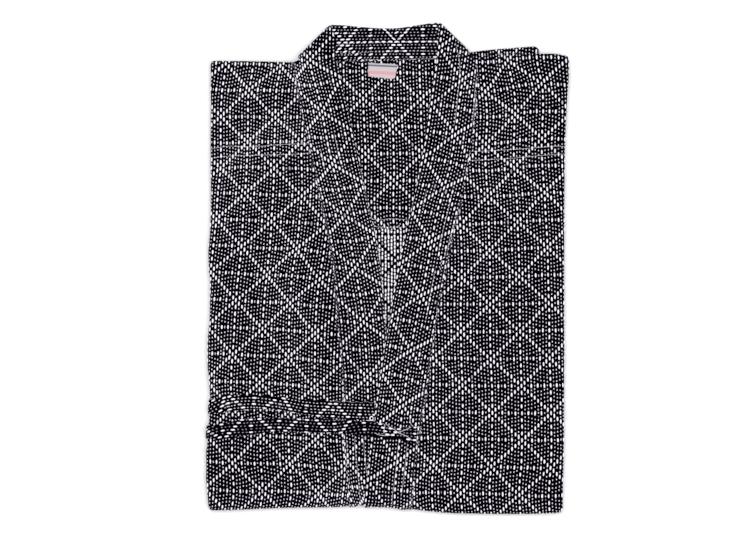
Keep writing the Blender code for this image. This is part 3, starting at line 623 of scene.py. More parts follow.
def relief(x, y, creases):
    """Soft troughs and ridges, none of them deeper than the room that the cloth has."""
    total = np.zeros(np.shape(x))
    for middle_x, middle_y, lean, length, width, height in creases:
        angle = math.radians(lean)
        along = (x - middle_x) * math.cos(angle) + (y - middle_y) * math.sin(angle)
        across = (y - middle_y) * math.cos(angle) - (x - middle_x) * math.sin(angle)
        across = across + 0.12 * width * np.sin(along / length * 2.6)
        total += height * np.exp(-(along / length) ** 4) * np.exp(-(across / width) ** 2)
    return total


def sample(grid, at):
    """Values of a grid between its rows and columns."""
    i, j = (np.clip(np.floor(at[:, k]).astype(int), 0, grid.shape[k] - 2) for k in (0, 1))
    u = np.clip(at[:, 0] - i, 0.0, 1.0)[:, None]
    v = np.clip(at[:, 1] - j, 0.0, 1.0)[:, None]
    return mix(mix(grid[i, j], grid[i, j + 1], v), mix(grid[i + 1, j], grid[i + 1, j + 1], v), u)


class Cloth:
    """A grid of places in the flat cloth, where each lies in space, and a band's rings."""

    def __init__(self, flat, placed, rings=None, down=False):
        self.flat, self.placed, self.rings, self.down = flat, placed, rings, down
        normal = unit(np.cross(np.gradient(placed, axis=1), np.gradient(placed, axis=0)))
        row = normal[len(normal) // 2, :, 2]
        upright = row[np.abs(row).round(3).argmax()] >= 0.0
        self.normal = normal if upright != down else -normal
        self.rates = np.gradient(flat, axis=0), np.gradient(flat, axis=1)

    def nearest(self, spots):
        coarse = self.flat[::COARSE, ::COARSE]
        parts = np.array_split(spots, len(spots) // 400 + 1)
        best = np.concatenate([((part[:, None] - coarse.reshape(-1, 2)) ** 2).sum(axis=2)
                               .argmin(axis=1) for part in parts])
        return stack(*np.divmod(best, coarse.shape[1])) * float(COARSE)

    def find(self, spots, at=None):
        """Rows and columns of the grid at places in the flat cloth, and how far off they are."""
        at = self.nearest(spots) if at is None else at
        for _ in range(5):
            error = spots - sample(self.flat, at)
            down, over = (sample(rate, at) for rate in self.rates)
            area = cross(down, over)
            area = np.where(np.abs(area) < 1e-6, 1e-6, area)[:, None]
            step = stack(cross(error, over), cross(down, error)) / area
            at = np.clip(at + np.clip(step, -3.0, 3.0), 0.0, np.array(self.flat.shape[:2]) - 1.0)
        return at, np.linalg.norm(spots - sample(self.flat, at), axis=1)


def world(points):
    return (np.asarray(points, dtype=float) + CENTER) * MM


def mesh_object(name, points, faces, material, uv, tone=None):
    """A mesh from points in millimetres and faces of three corners or more."""
    mesh = bpy.data.meshes.new(name)
    sizes = np.array([len(face) for face in faces])
    corners = np.concatenate([*faces])
    mesh.vertices.add(len(points))
    mesh.vertices.foreach_set("co", world(points).astype(np.float32).reshape(-1))
    mesh.loops.add(len(corners))
    mesh.loops.foreach_set("vertex_index", corners.astype(np.int32))
    mesh.polygons.add(len(sizes))
    mesh.polygons.foreach_set("loop_start", (np.cumsum(sizes) - sizes).astype(np.int32))
    mesh.polygons.foreach_set("loop_total", sizes.astype(np.int32))
    mesh.update(calc_edges=True)
    layer = mesh.uv_layers.new(name="cloth")
    layer.data.foreach_set("uv", (uv[corners] * 0.01).astype(np.float32).reshape(-1))
    if tone is not None:
        layer = mesh.color_attributes.new(name="tone", type="FLOAT_COLOR", domain="POINT")
        colors = stack(tone, tone, tone, 1.0)
        layer.data.foreach_set("color", colors.astype(np.float32).reshape(-1))
    mesh.shade_smooth()
    mesh.materials.append(material)
    obj = bpy.data.objects.new(name, mesh)
    bpy.context.scene.collection.objects.link(obj)
    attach(obj, "root")
    made[name] = obj


def grid_quads(rows, columns, closed=False):
    r = np.arange(rows - 1)[:, None] * columns
    c = np.arange(columns if closed else columns - 1)
    d = (c + 1) % columns
    return stack(r + c, r + d, r + columns + d, r + columns + c).reshape(-1, 4)


def looks_up(points, face):
    a, b, c = points[list(face[:3])]
    return np.cross(b - a, c - b)[2] >= 0.0


def facing(points, faces, down):
    """Turn faces over if the middle one looks the wrong way."""
    return faces if looks_up(points, faces[len(faces) // 2]) != down else faces[:, ::-1]


def shell(name, cloth, material):
    """An open shell of cloth."""
    points = cloth.placed.reshape(-1, 3)
    quads = facing(points, grid_quads(*cloth.placed.shape[:2]), cloth.down)
    mesh_object(name, points, quads, material, cloth.flat.reshape(-1, 2))


def tube(name, rings, material):
    """A closed band through rings, with both ends filled."""
    rows, columns = rings.shape[:2]
    points = rings.reshape(-1, 3)
    faces = [*grid_quads(rows, columns, closed=True), np.arange(columns)[::-1],
             np.arange(columns) + (rows - 1) * columns]
    if not looks_up(points, faces[rows // 2 * columns + columns // 4]):
        faces = [face[::-1] for face in faces]
    mesh_object(name, points, faces, material, np.zeros((len(points), 2)))


def float_shape(length, width, height, count):
    """Points of one raised float, and its faces: a grain with pointed ends."""
    marks = np.linspace(-1.0, 1.0, count + 1)[1:-1, None]
    marks = np.sign(marks) * np.abs(marks) ** 0.8
    sides = np.array([-1.0, -0.55, 0.0, 0.55, 1.0])
    swelling = (1.0 - np.abs(marks) ** 2.3) ** 0.5
    rise = height * swelling * np.sqrt(1.0 - sides ** 2)
    body = stack(0.5 * length * marks, 0.5 * width * swelling * sides,
                 np.where(rise > 0.0, rise, -FLOAT_SUNK))
    tips = np.array([(-0.5 * length, 0.0, -FLOAT_SUNK), (0.5 * length, 0.0, -FLOAT_SUNK)])
    points = np.concatenate([tips[:1], body.reshape(-1, 3), tips[1:]])
    quads = grid_quads(len(marks), len(sides)) + 1
    k = np.arange(len(sides) - 1)
    last = len(points) - 1
    low = last - len(sides) + k
    faces = np.concatenate([stack(0, k + 1, k + 2), quads[:, [0, 3, 2, 0, 2, 1]].reshape(-1, 3),
                            stack(low, last, low + 1)])
    return points, faces


def weave_chart():
    """Every float of one repeat: column, row and kind."""
    chart = {}
    half_columns, half_rows = REPEAT_COLUMNS // 2, REPEAT_ROWS // 2
    for column, *by_kind in WEAVE:
        for kind, rows in zip(KINDS, by_kind):
            for row in [*rows, *(-row for row in rows)]:
                for c, r in ((column, row), (half_columns - column, half_rows - row)):
                    for d in (c, -c):
                        chart[d % REPEAT_COLUMNS, round(r * 10) % (REPEAT_ROWS * 10)] = kind
    return [(c, r / 10.0, kind) for (c, r), kind in sorted(chart.items())]


def tiled(columns, rows):
    """Floats of the weave over a range of columns and rows."""
    found = {kind: [] for kind in KINDS}
    for c, r, kind in weave_chart():
        spans = [range(math.floor((ends[0] - mark) / size), math.ceil((ends[1] - mark) / size) + 1)
                 for mark, ends, size in ((c, columns, REPEAT_COLUMNS), (r, rows, REPEAT_ROWS))]
        found[kind] += [(c + i * REPEAT_COLUMNS, r + j * REPEAT_ROWS)
                        for i in spans[0] for j in spans[1]]
    return {kind: np.array(spots, dtype=float) for kind, spots in found.items()}


class Field:
    """Places of the weave in a panel, through measured crossings."""

    def __init__(self, crossings, reach=30.0):
        table = np.array([(column, first + k, *spots[2 * k:2 * k + 2])
                          for column, first, *spots in crossings for k in range(len(spots) // 2)])
        self.marks = table[:, :2] * (REPEAT_COLUMNS // 2, REPEAT_ROWS // 2)
        self.reach = reach
        basis = np.column_stack([np.ones(len(table)), self.marks])
        self.fit = np.linalg.lstsq(basis, table[:, 2:], rcond=None)[0]
        near = self.nearness(self.marks) + FIELD_SLACK * np.eye(len(table))
        self.pull = np.linalg.solve(near, table[:, 2:] - basis @ self.fit)

    def nearness(self, marks):
        gap = (marks[:, None] - self.marks) * (COLUMN_PITCH, ROW_PITCH)
        return np.exp(-(gap ** 2).sum(axis=2) / (2.0 * self.reach ** 2))

    def __call__(self, marks):
        base = np.column_stack([np.ones(len(marks)), marks]) @ self.fit
        return base + self.nearness(marks) @ self.pull

    def extent(self, low, high):
        """Columns and rows that cover a box in the flat cloth."""
        spots = np.array([(x, y) for x in (low[0], high[0]) for y in (low[1], high[1])])
        marks = (spots - self.fit[0]) @ np.linalg.inv(self.fit[1:])
        return zip(marks.min(axis=0) - FIELD_SPARE, marks.max(axis=0) + FIELD_SPARE)


class Band:
    """Places of the weave along a band, from a line of crossings."""

    def __init__(self, line, pitch, reach):
        self.line = np.array(line, dtype=float)
        self.pitch = pitch
        self.reach = reach

    def spot(self, rows):
        keys, spots = self.line[:, 0], self.line[:, 1:]
        head, tail = ((spots[a] - spots[b]) / (keys[a] - keys[b]) for a, b in ((1, 0), (-1, -2)))
        past = np.minimum(rows - keys[0], 0.0)[:, None], np.maximum(rows - keys[-1], 0.0)[:, None]
        return curve(keys, spots, rows) + past[0] * head + past[1] * tail

    def __call__(self, marks):
        run = unit(self.spot(marks[:, 1] + 2.0) - self.spot(marks[:, 1] - 2.0))
        side = stack(-run[:, 1], run[:, 0])
        return self.spot(marks[:, 1]) + side * marks[:, :1] * self.pitch

    def extent(self, low, high):
        rows = self.line[0, 0] - BAND_SPARE, self.line[-1, 0] + BAND_SPARE
        return (-self.reach, self.reach), rows


def wrong_side(columns, rows):
    """Floats of the weave's other side: white thread between the floats of its face."""
    by_column = {}
    spared = rows[0] - WRONG_SPARE, rows[1] + WRONG_SPARE
    for kind, marks in tiled(columns, spared).items():
        for c, r in marks:
            by_column.setdefault(c, []).append((r, HALF_ROWS[kind]))
    beads = []
    for c, spans in by_column.items():
        spans.sort()
        for (r, half), (next_r, next_half) in zip(spans, spans[1:]):
            start, end = r + half, next_r - next_half
            if end - start > LEAST_BEAD and rows[0] < start < rows[1]:
                beads.append((c, 0.5 * (start + end), (end - start) * ROW_PITCH / BEAD_LENGTH))
    return {"bead": np.array(beads)}


def turned(run, angle):
    return stack(run[:, 0] * np.cos(angle) - run[:, 1] * np.sin(angle),
                 run[:, 0] * np.sin(angle) + run[:, 1] * np.cos(angle))


def floats(start, weave, keep=None, seed=0, other_side=False, dull=1.0, count=None, askew=None):
    """Raised floats of the weave on a cloth, joined in one mesh."""
    cloth = cloths[start]
    rng = np.random.default_rng(SEED + seed)
    low, high = cloth.flat.min(axis=(0, 1)), cloth.flat.max(axis=(0, 1))
    columns, rows = weave.extent(low, high)
    grains = []
    for kind, marks in (wrong_side if other_side else tiled)(columns, rows).items():
        stretch = marks[:, 2] if other_side else np.ones(len(marks))
        marks = marks[:, :2].copy()
        waver = ROW_WAVER * np.sin(marks[:, 0] * 2.4 + 0.7)
        marks[:, 1] += waver + rng.normal(0.0, ROW_NOISE, len(marks))
        marks[:, 0] += rng.normal(0.0, COLUMN_NOISE, len(marks))
        spots = weave(marks)
        step = np.array([0.0, 1.5])
        run = unit(weave(marks + step) - weave(marks - step))
        if askew is not None:
            run = turned(run, askew(spots, kind))
        inside = ((spots > low - 1.0) & (spots < high + 1.0)).all(axis=1)
        if keep is not None:
            inside &= keep(spots)
        spots, run, stretch = spots[inside], run[inside], stretch[inside]
        at, off = cloth.find(spots)
        inside = off < OFF_FLOAT
        grains.append((kind, spots[inside], run[inside], at[inside], stretch[inside]))
    placed_grains(start + "_floats", cloth, grains, white, rng, dull, count=count)


def placed_grains(name, cloth, grains, material, rng, dull=1.0, tones=None, count=None):
    """Set grains on a cloth at places, along directions, joined in one mesh."""
    points, faces, shades, uvs = [], [], [], []
    start = 0
    for kind, spots, run, at, stretch in grains:
        number = len(spots)
        if number == 0:
            continue
        *size, along, bright = FLOATS[kind]
        shape, shape_faces = float_shape(*size, count or along)
        run = turned(run, rng.normal(0.0, LEAN_NOISE, number))
        side = stack(-run[:, 1], run[:, 0])
        long = stretch * (1.0 + rng.normal(0.0, LENGTH_NOISE, number))
        wide = 1.0 + rng.normal(0.0, WIDTH_NOISE, number)
        offset = (run[:, None] * (shape[:, :1] * long[:, None, None])
                  + side[:, None] * (shape[:, 1:2] * wide[:, None, None]))
        flat = (spots[:, None] + offset).reshape(-1, 2)
        where, _ = cloth.find(flat, np.repeat(at, len(shape), axis=0))
        high = np.tile(shape[:, 2], number)[:, None]
        points.append(sample(cloth.placed, where) + sample(cloth.normal, where) * high)
        first = start + np.arange(number) * len(shape)
        faces.append((shape_faces + first[:, None, None]).reshape(-1, 3))
        start += number * len(shape)
        tone = bright * np.clip(1.0 - np.abs(rng.normal(0.0, TONE_NOISE, number)), 0.0, 1.0)
        if kind in ("short", "dim"):
            tone *= dull
        faded = rng.random(number) < FADED_SHARE
        tone = np.where(faded, tone * rng.uniform(*FADED, number), tone)
        if tones is not None:
            tone = tones * (0.9 + 0.1 * tone)
        shades.append(np.repeat(tone, len(shape)))
        phase = np.repeat(rng.random((number, 2)) * 50.0, len(shape), axis=0)
        uvs.append(np.tile(shape[:, :2], (number, 1)) + phase)
    points = np.concatenate(points)
    points[:, 2] = np.maximum(points[:, 2], LOWEST)
    faces = facing(points, np.concatenate(faces), cloth.down)
    mesh_object(name, points, faces, material, np.concatenate(uvs), np.concatenate(shades))


def stitches(start, paths, pitch=STITCH_PITCH, kind="stitch", seed=0, shown=None,
             path_tones=None, lean=0.0):
    """Stitches along paths in the flat cloth, brighter where they lie on the surface."""
    cloth = cloths[start]
    rng = np.random.default_rng(SEED + 100 + seed)
    spots, runs, bright = [], [], []
    for number, path in enumerate(paths):
        path = np.asarray(path, dtype=float)
        length = run_along(path)
        marks = np.arange(pitch * 0.5, length[-1], pitch)
        marks = marks + rng.normal(0.0, PITCH_NOISE * pitch, len(marks))
        behind, spot, ahead = (stack(*(np.interp(marks + gap, length, path[:, k]) for k in (0, 1)))
                               for gap in (-1.0, 0.0, 1.0))
        angle = np.radians(lean) * rng.uniform(0.3, 1.3, len(spot))
        spots.append(spot)
        runs.append(turned(unit(ahead - behind), angle))
        part = np.full(len(spot), 1.0 if shown is None else STITCH_HIDDEN)
        if path_tones is not None:
            part *= path_tones[number]
        for row, *ends in shown or ():
            if row == number:
                edge = np.minimum(spot[:, 1] - min(ends), max(ends) - spot[:, 1])
                part = np.maximum(part, smooth((edge + FADE_OUT) / (2.0 * FADE_OUT)))
        bright.append(part)
    spots, runs, bright = (np.concatenate(parts) for parts in (spots, runs, bright))
    at, off = cloth.find(spots)
    seen = (bright > 2.0 * STITCH_HIDDEN) | (rng.random(len(spots)) < HIDDEN_SHARE)
    good = (off < OFF_STITCH) & seen
    grain = kind, spots[good], runs[good], at[good], np.ones(good.sum())
    thread_of = grey if kind == "stitch" else pale
    placed_grains(start + "_stitches", cloth, [grain], thread_of, rng, tones=bright[good])


def snags(start, marks, seed):
    """Single threads caught in a seam: x, y, lean from X in degrees, stretch and tone of each."""
    cloth = cloths[start]
    rng = np.random.default_rng(SEED + 200 + seed)
    marks = np.asarray(marks, dtype=float)
    at, off = cloth.find(marks[:, :2])
    good = off < OFF_STITCH
    marks, lean = marks[good], np.radians(marks[good, 2])
    grain = "snag", marks[:, :2], stack(np.cos(lean), np.sin(lean)), at[good], marks[:, 3]
    placed_grains(start + "_snags", cloth, [grain], white, rng, tones=marks[:, 4])


def bunched(seam, table, offset, seed):
    """Threads of the weave that a seam bunches up, where the table says how strongly."""
    rng = np.random.default_rng(SEED + 300 + seed)
    noise_x, noise_y, noise_lean = SNAG_NOISE
    y = np.arange(*SNAG_STEPS)
    y = y + rng.normal(0.0, noise_y, len(y))
    strength = read(table, 1, y)
    keep = rng.random(len(y)) < np.clip(strength * 1.3, 0.0, 1.0)
    y, strength = y[keep], strength[keep]
    x = section(seam, y) + offset + rng.normal(0.0, noise_x, len(y))
    slope = section(seam, y + 1.0) - section(seam, y - 1.0)
    lean = 90.0 - np.degrees(np.arctan(0.5 * slope)) + rng.normal(0.0, noise_lean, len(y))
    stretch = rng.uniform(*SNAG_STRETCH, len(y))
    tone = SNAG_TONE * np.clip(strength, 0.0, 1.0) * rng.uniform(0.2, 1.0, len(y))
    return stack(x, y, lean, stretch, tone)


def quilting_paths(cloth):
    """Paths along a front collar at the distances of its quilting from its outer seam."""
    _, arc, _ = collar_ring()
    rows = np.arange(len(cloth.flat), dtype=float)
    columns = np.interp(QUILT_ROWS, arc, np.arange(len(arc)))
    return [sample(cloth.flat, stack(rows, column)) for column in columns]


def front_cloth(side, creases):
    """One front: flat top, wrapped over its side, its shoulder and the bottom."""
    top = np.linspace(1.0, 0.0, 6, endpoint=False)
    flat_f = np.linspace(0.0, 1.0, int(FLAT_LENGTH / SHELL_STEP))
    low = np.linspace(0.0, 1.0, 9)[1:]
    f = np.concatenate([0.0 * top, flat_f, 0.0 * low + 1.0])[:, None]
    end_turn = np.concatenate([top, 0.0 * flat_f, low])[:, None]
    end = np.repeat([1.0, 0.0, -1.0], [len(top), len(flat_f), len(low)])[:, None]
    seam = section("seam_under" if side < 0 else "seam_over", nominal(f)) + side * GAP
    across = np.linspace(0.0, 1.0, 44)
    wrap = np.linspace(0.0, 1.0, 7)[1:]
    x = mix(seam, side_fold(side, nominal(f)), np.append(across, 0.0 * wrap + 1.0))
    side_turn = np.append(0.0 * across, wrap)
    y = row_y(x, f)
    most, least = np.maximum(side_turn, end_turn), np.minimum(side_turn, end_turn)
    lean = np.radians(45.0) * least / np.maximum(most, 1e-9)
    lean = np.where(side_turn >= end_turn, lean, np.radians(90.0) - lean)
    angle = most * WRAP_END
    reach_x, reach_y = np.cos(lean), np.sin(lean)
    end_radius = np.where(end > 0, mix(SIDE_RADIUS, NECK_RADIUS, neck(x, y)), BOTTOM_RADIUS)
    lift = relief(x, y, creases)
    calm = smooth((np.abs(x - seam) - 2.0) / 8.0) * np.where(lift > 0, 1.0, 0.7)
    for table in (TIE_UNDER, TIE_OVER) if side < 0 else ():
        middle = 0.5 * (read(table, 1, x) + read(table, 2, x))
        calm = calm * smooth((np.abs(y - middle) - 12.0) / 14.0)
    rise = GAP + CLOTH + lift * calm
    radius = SIDE_RADIUS * reach_x ** 2 + end_radius * reach_y ** 2 + rise
    placed = stack(x + side * (SIDE_RADIUS + rise) * reach_x * np.sin(angle),
                   y + end * (end_radius + rise) * reach_y * np.sin(angle),
                   core_top(x, y) + rise - radius * (1.0 - np.cos(angle)))
    arc = angle * radius
    return Cloth(stack(x + side * arc * reach_x, y + end * arc * reach_y), placed)


def collar_ring(quilt_rows=QUILT_ROWS):
    """Round a collar from its outer seam: distance and height, and where the flat cloth is."""
    marks = np.linspace(1.3, 63.4, 54)
    nearest = np.abs(marks[:, None] - quilt_rows).min(axis=1)
    valley = np.exp(-(nearest / 1.5) ** 2)
    crown = np.sin(np.minimum(nearest, 6.0) / 6.0 * math.pi / 2.0)
    top = stack(marks, COLLAR_THICK - QUILT_RISE * (0.75 * valley + 0.25 * (1.0 - crown)))
    shown = np.concatenate([SEAM_EDGE, top, FREE_EDGE])
    below = stack(np.linspace(58.0, 6.0, 7), 0.0)
    arc = run_along(shown)
    arc = arc - arc[len(SEAM_EDGE)] + marks[0]
    extra = np.where(shown[:, 0] > 32.0, arc[-len(FREE_EDGE) - 1] - marks[-1], 0.0)
    on_top = (shown[:, 0] > 1.0) & (shown[:, 0] < 63.6) & (shown[:, 1] > 3.0)
    return np.concatenate([shown, below]), np.where(on_top, shown[:, 0], arc - extra), len(shown)


def front_collar(side, table):
    """A front collar: its fold at the corner of the neck, the shoulder, the front, the bottom."""
    ring, arc, shown = collar_ring()
    part, high, flat_part = ring[:, 0] / COLLAR_WIDTH, ring[:, 1], arc / COLLAR_WIDTH
    f = np.linspace(0.0, 1.0, int(FLAT_LENGTH / COLLAR_STEP))[:, None]
    which = "_under" if side < 0 else "_over"
    seam, free = section("seam" + which, nominal(f)), section("free" + which, nominal(f))
    x = mix(seam, free, part)
    y = row_y(x, f)
    lift = COLLAR_THICK + GAP if side > 0 else 0.0
    base = (CORE_TOP + GAP + swell(x, y)
            + lift * smooth((section("free_under", y) + OVERLAP_REACH - x) / OVERLAP_BLEND))
    z = base + high
    body, body_flat = stack(x, y, z), stack(mix(seam, free, flat_part), y[:, :shown])

    last = math.acos(-(CORE_TOP - BOTTOM_RADIUS - COLLAR_FLOOR)
                     / (BOTTOM_RADIUS + GAP + COLLAR_THICK + lift))
    angles = np.linspace(0.0, last, 9)[1:, None]
    radius = z[-1] - (CORE_TOP + swell(x[-1], y[-1])) + BOTTOM_RADIUS
    bent = stack(x[-1], y[-1] - radius * np.sin(angles), z[-1] - radius * (1.0 - np.cos(angles)))
    bent_flat = stack(body_flat[-1, :, 0], y[-1, :shown] - radius[:shown].max() * angles)

    rim = shown - 3
    outer = np.array([(x[0, 0], y[0, 0], base[0, 0])] + [row[:3] for row in table])
    inner = np.array([(free[0, 0], y[0, rim], base[0, rim])] + [row[3:] for row in table])
    run = run_along(inner) + 0.5 * np.arange(len(inner))
    fine = np.linspace(0.0, run[-1], 15)[1:]
    outer, inner = (curve(run, rows, fine)[:, None] for rows in (outer, inner))
    turn = mix(outer, inner, part[:, None])
    turn[:, :, 2] += high
    turn_flat = mix(outer[..., :2], inner[..., :2], flat_part[:, None])

    (out_x, out_y, _), (in_x, in_y, _) = outer[-1, 0], inner[-1, 0]
    away = unit(np.array([out_y - in_y, in_x - out_x]))
    away = away * np.sign(away[1])
    angles = np.linspace(0.0, FOLD_END, 9)[1:, None]
    line = mix(outer[-1], inner[-1], part[:, None])
    reach = FOLD_INNER + high
    folded = line + stack(away[0] * reach * np.sin(angles), away[1] * reach * np.sin(angles),
                          reach * np.cos(angles) - FOLD_INNER)
    folded_flat = turn_flat[-1] + away * ((FOLD_INNER + COLLAR_THICK) * angles)[:, :, None]

    rings = np.concatenate([folded[::-1], turn[::-1], body, bent])
    flat = np.concatenate([folded_flat[::-1], turn_flat[::-1], body_flat, bent_flat])
    return Cloth(flat, rings[:, :shown], rings)


def back_collar():
    """The collar behind the neck, from one fold to the other."""
    ring, arc, shown = collar_ring(BACK_ROWS)
    keys = np.arange(len(BACK_COLLAR))
    line = curve(keys, BACK_COLLAR, steps(0.0, float(keys[-1]), 0.12))[:, None]
    outer, inner = line[..., :3], line[..., 3:]
    rings = mix(outer, inner, ring[:, :1] / COLLAR_WIDTH)
    rings[:, :, 2] += ring[:, 1] - COLLAR_THICK
    flat = mix(outer[..., :2], inner[..., :2], arc[:, None] / COLLAR_WIDTH)
    return Cloth(flat, rings[:, :shown], rings)


def tie_cloth(table):
    """A tie: a folded band, wrapped over the side fold where it starts."""
    turn = math.pi - np.arange(20) * math.pi / 19.0
    top = stack(0.5 + 0.5 * np.sign(np.cos(turn)) * np.abs(np.cos(turn)) ** 0.45,
                0.5 * TIE_THICK * (1.0 + np.abs(np.sin(turn)) ** 0.7))
    shown = len(top)
    part, high = np.concatenate([top, stack(np.linspace(0.93, 0.07, 7), 0.0)]).T
    arc = run_along(top * (TIE_WIDTH, 1.0))
    arc = (arc - arc[-1] * 0.5) / TIE_WIDTH + 0.5
    arc = np.where(np.abs(top[:, 0] - 0.5) < 0.44, top[:, 0], arc)
    x = steps(table[0][0], table[-1][0], 3.0)[:, None]
    upper, lower = read(table, 1, x), read(table, 2, x)
    y = mix(upper, lower, part)
    body = stack(x, y, tie_bed(x, y) + GAP + high)
    start_y = mix(*table[0][1:], part)
    start = side_fold(-1, start_y)
    angles = np.linspace(TIE_WRAP, 0.0, 8)[:, None]
    radius = SIDE_LIMIT + GAP + high * mix(1.0, TIE_PRESSED, smooth(angles / TIE_WRAP * 2.0))
    wrapped = stack(start - radius * np.sin(angles), start_y,
                    tie_bed(start, start_y) + GAP + high - radius * (1.0 - np.cos(angles)))
    wrap_flat = stack(start[:shown] - (SIDE_LIMIT + GAP + TIE_THICK) * angles,
                      mix(*table[0][1:], arc))
    rings = np.concatenate([wrapped, body])
    flat = np.concatenate([wrap_flat, stack(x, mix(upper, lower, arc))])
    return Cloth(flat, rings[:, :shown], rings)


def between_seams(y, tuck, count):
    """Places across the neck, from under one collar to under the other."""
    left, right = section("seam_under", y) + tuck, section("seam_over", y) - tuck
    return mix(left, right, np.linspace(0.0, 1.0, count))


def lining_cloth():
    """The shoulder lining, with its hem turned under."""
    f = np.linspace(0.0, 1.0, 66)[:, None]
    x = between_seams(mix(TOP_NOMINAL, LINING_END, f), LINING_TUCK, 52)
    y = mix(shoulder(x) - 0.2, LINING_END, f)
    flat, placed = stack(x, y), stack(x, y, lining_top(x, y))
    radius = 0.5 * CLOTH
    turn = np.radians([30.0, 60.0, 90.0, 130.0, 170.0])[:, None]
    hem_flat = flat[-1] - radius * stack(0.0, turn)
    hem = placed[-1] - radius * stack(0.0, np.sin(turn), 1.0 - np.cos(turn))
    return Cloth(np.concatenate([flat, hem_flat]), np.concatenate([placed, hem]))


def back_cloth():
    """The back inside the neck, below the lining."""
    y = steps(BACK_START, BACK_END, SHELL_STEP)[:, None]
    x = between_seams(y, BACK_TUCK, 32)
    return Cloth(stack(x, y), stack(x, y, core_top(x, y) + GAP + CLOTH))


def label_cloth():
    """The label: out of square, with a worn end, and its edges turned down to the lining."""
    r = np.linspace(0.0, 1.0, 14)[:, None]
    part = np.linspace(0.0, 1.0, 28)
    corner = LABEL_CORNER * smooth((part - 0.9) / 0.1)
    x = mix(LABEL_LEFT, LABEL_RIGHT + LABEL_LEAN * r, part)
    slope = mix(LABEL_SLOPE_TOP, LABEL_SLOPE_BOTTOM, r)
    y = mix(LABEL_TOP, LABEL_BOTTOM, r) - slope * (x - LABEL_LEFT)
    y = mix(y - corner * smooth((0.25 - r) / 0.25), y + corner * smooth((r - 0.75) / 0.25), r)
    fray = 0.25 * np.sin(x[0] * 1.9) + 0.2 * np.sin(x[0] * 3.7 + 1.0)
    y[0] += fray
    y[-1] += fray[::-1]
    z = lining_top(x, y) + GAP + LABEL_THICK + 0.14 * np.sin(x / 6.5) * np.cos(y / 5.0)
    flat, placed = (np.pad(grid, ((1, 1), (1, 1), (0, 0)), mode="edge")
                    for grid in (stack(x, y), stack(x, y, z)))
    placed[[0, -1], :, 2] -= LABEL_THICK
    placed[1:-1, [0, -1], 2] -= LABEL_THICK
    flat[[0, -1], :, 1] += ((LABEL_THICK,), (-LABEL_THICK,))
    flat[:, [0, -1], 0] += (-LABEL_THICK, LABEL_THICK)
    return Cloth(flat, placed)


def sleeve_cloth():
    """The rounded fold of the sleeve edge, open towards the garment."""
    x = steps(SLEEVE[0][0], SLEEVE[-1][0], 3.0)[:, None]
    edge = read(SLEEVE, 1, x) - SLEEVE_RADIUS
    turn = np.linspace(math.pi / 2.0, -math.pi / 2.0, 13)
    leg = mix(SLEEVE_BACK, edge, np.linspace(0.0, 1.0, 4, endpoint=False))
    y = np.concatenate([leg, edge + SLEEVE_RADIUS * np.cos(turn), leg[:, ::-1]], axis=1)
    rise = np.concatenate([np.ones(4), np.sin(turn), -np.ones(4)])
    placed = stack(x, y, SLEEVE_Z + SLEEVE_RADIUS * rise)
    return Cloth(stack(x, SLEEVE_BACK + run_along(placed)), placed)


def outline_path():
    """Round the garment's fold lines: places on the flat top's edge, and the way out."""
    f = np.linspace(0.0, 1.0, 172)
    sides = [side_fold(side, nominal(f)) for side in (-1, 1)]
    left, right = (stack(x, row_y(x, f)) for x in sides)
    low, high = (stack(x, row_y(x, end)) for x, end in (
        (np.linspace(right[-1, 0], left[-1, 0], 138), 1.0),
        (np.linspace(left[0, 0], right[0, 0], 138), 0.0)))
    spots, turns = [], []
    for number, leg in enumerate((right, low, left[::-1], high)):
        corner = np.linspace(0.0, 90.0, 9)[1:-1]
        spots += [leg, np.repeat(leg[-1:], len(corner), axis=0)]
        turns += [np.full(len(leg), 90.0 * number), 90.0 * number + corner]
    turns = np.radians(np.concatenate(turns + [[0.0]]))
    return np.concatenate(spots + [right[:1]]), stack(np.cos(turns), -np.sin(turns)).round(12)


def layer_cloth(name, number):
    """The rounded fold of one hidden layer, all round the garment."""
    side_inset, bottom_inset, side_z, bottom_z, half = HIDDEN_FOLDS[name]
    spots, outs = outline_path()
    x, y = spots.T
    along = outs[:, 1] ** 2
    low = outs[:, 1] < 0.0
    end_reach = np.where(low, BOTTOM_LIMIT - bottom_inset, TOP_LIMIT - side_inset - notch(x))
    middle = np.where(low, mix(side_z, bottom_z, along), side_z)[:, None]
    thin = np.where(low, mix(half, THIN_END, along), half)[:, None]
    wave = (0.5 * np.sin(0.031 * y + 1.7 * number) + 0.4 * np.sin(0.043 * x + 2.3 * number)
            + 0.25 * np.sin(0.11 * y + number) - 0.5)
    out = (mix(SIDE_LIMIT - side_inset, end_reach, along) - 0.4 + wave)[:, None]
    leg = np.linspace(LAYER_LEG, 0.0, 4, endpoint=False)
    turn = np.radians(np.concatenate([np.full(4, 90.0), np.linspace(90.0, -90.0, 9),
                                      np.full(4, -90.0)]))
    far = out - thin - np.concatenate([leg, np.zeros(9), leg[::-1]]) + thin * np.cos(turn)
    placed = stack(x[:, None] + outs[:, :1] * far, y[:, None] + outs[:, 1:] * far,
                   middle + thin * np.sin(turn))
    run = run_along(placed) - LAYER_LEG + 2.0
    return Cloth(spots[:, None] + outs[:, None] * run[:, :, None], placed)


def underside_cloth():
    """The lowest layer of the folded skirt, flat on the surface."""
    f = np.linspace(0.0, 1.0, 90)[:, None]
    left, right = (side_fold(side, nominal(f)) - side * UNDERSIDE_INSET for side in (-1, 1))
    x = mix(left, right, np.linspace(0.0, 1.0, 70))
    y = mix(top_row(x) - UNDERSIDE_INSET - notch(x), bottom(x) + BOTTOM_LIMIT + UNDERSIDE_INSET, f)
    return Cloth(stack(x, y), stack(x, y, UNDERSIDE_Z), down=True)


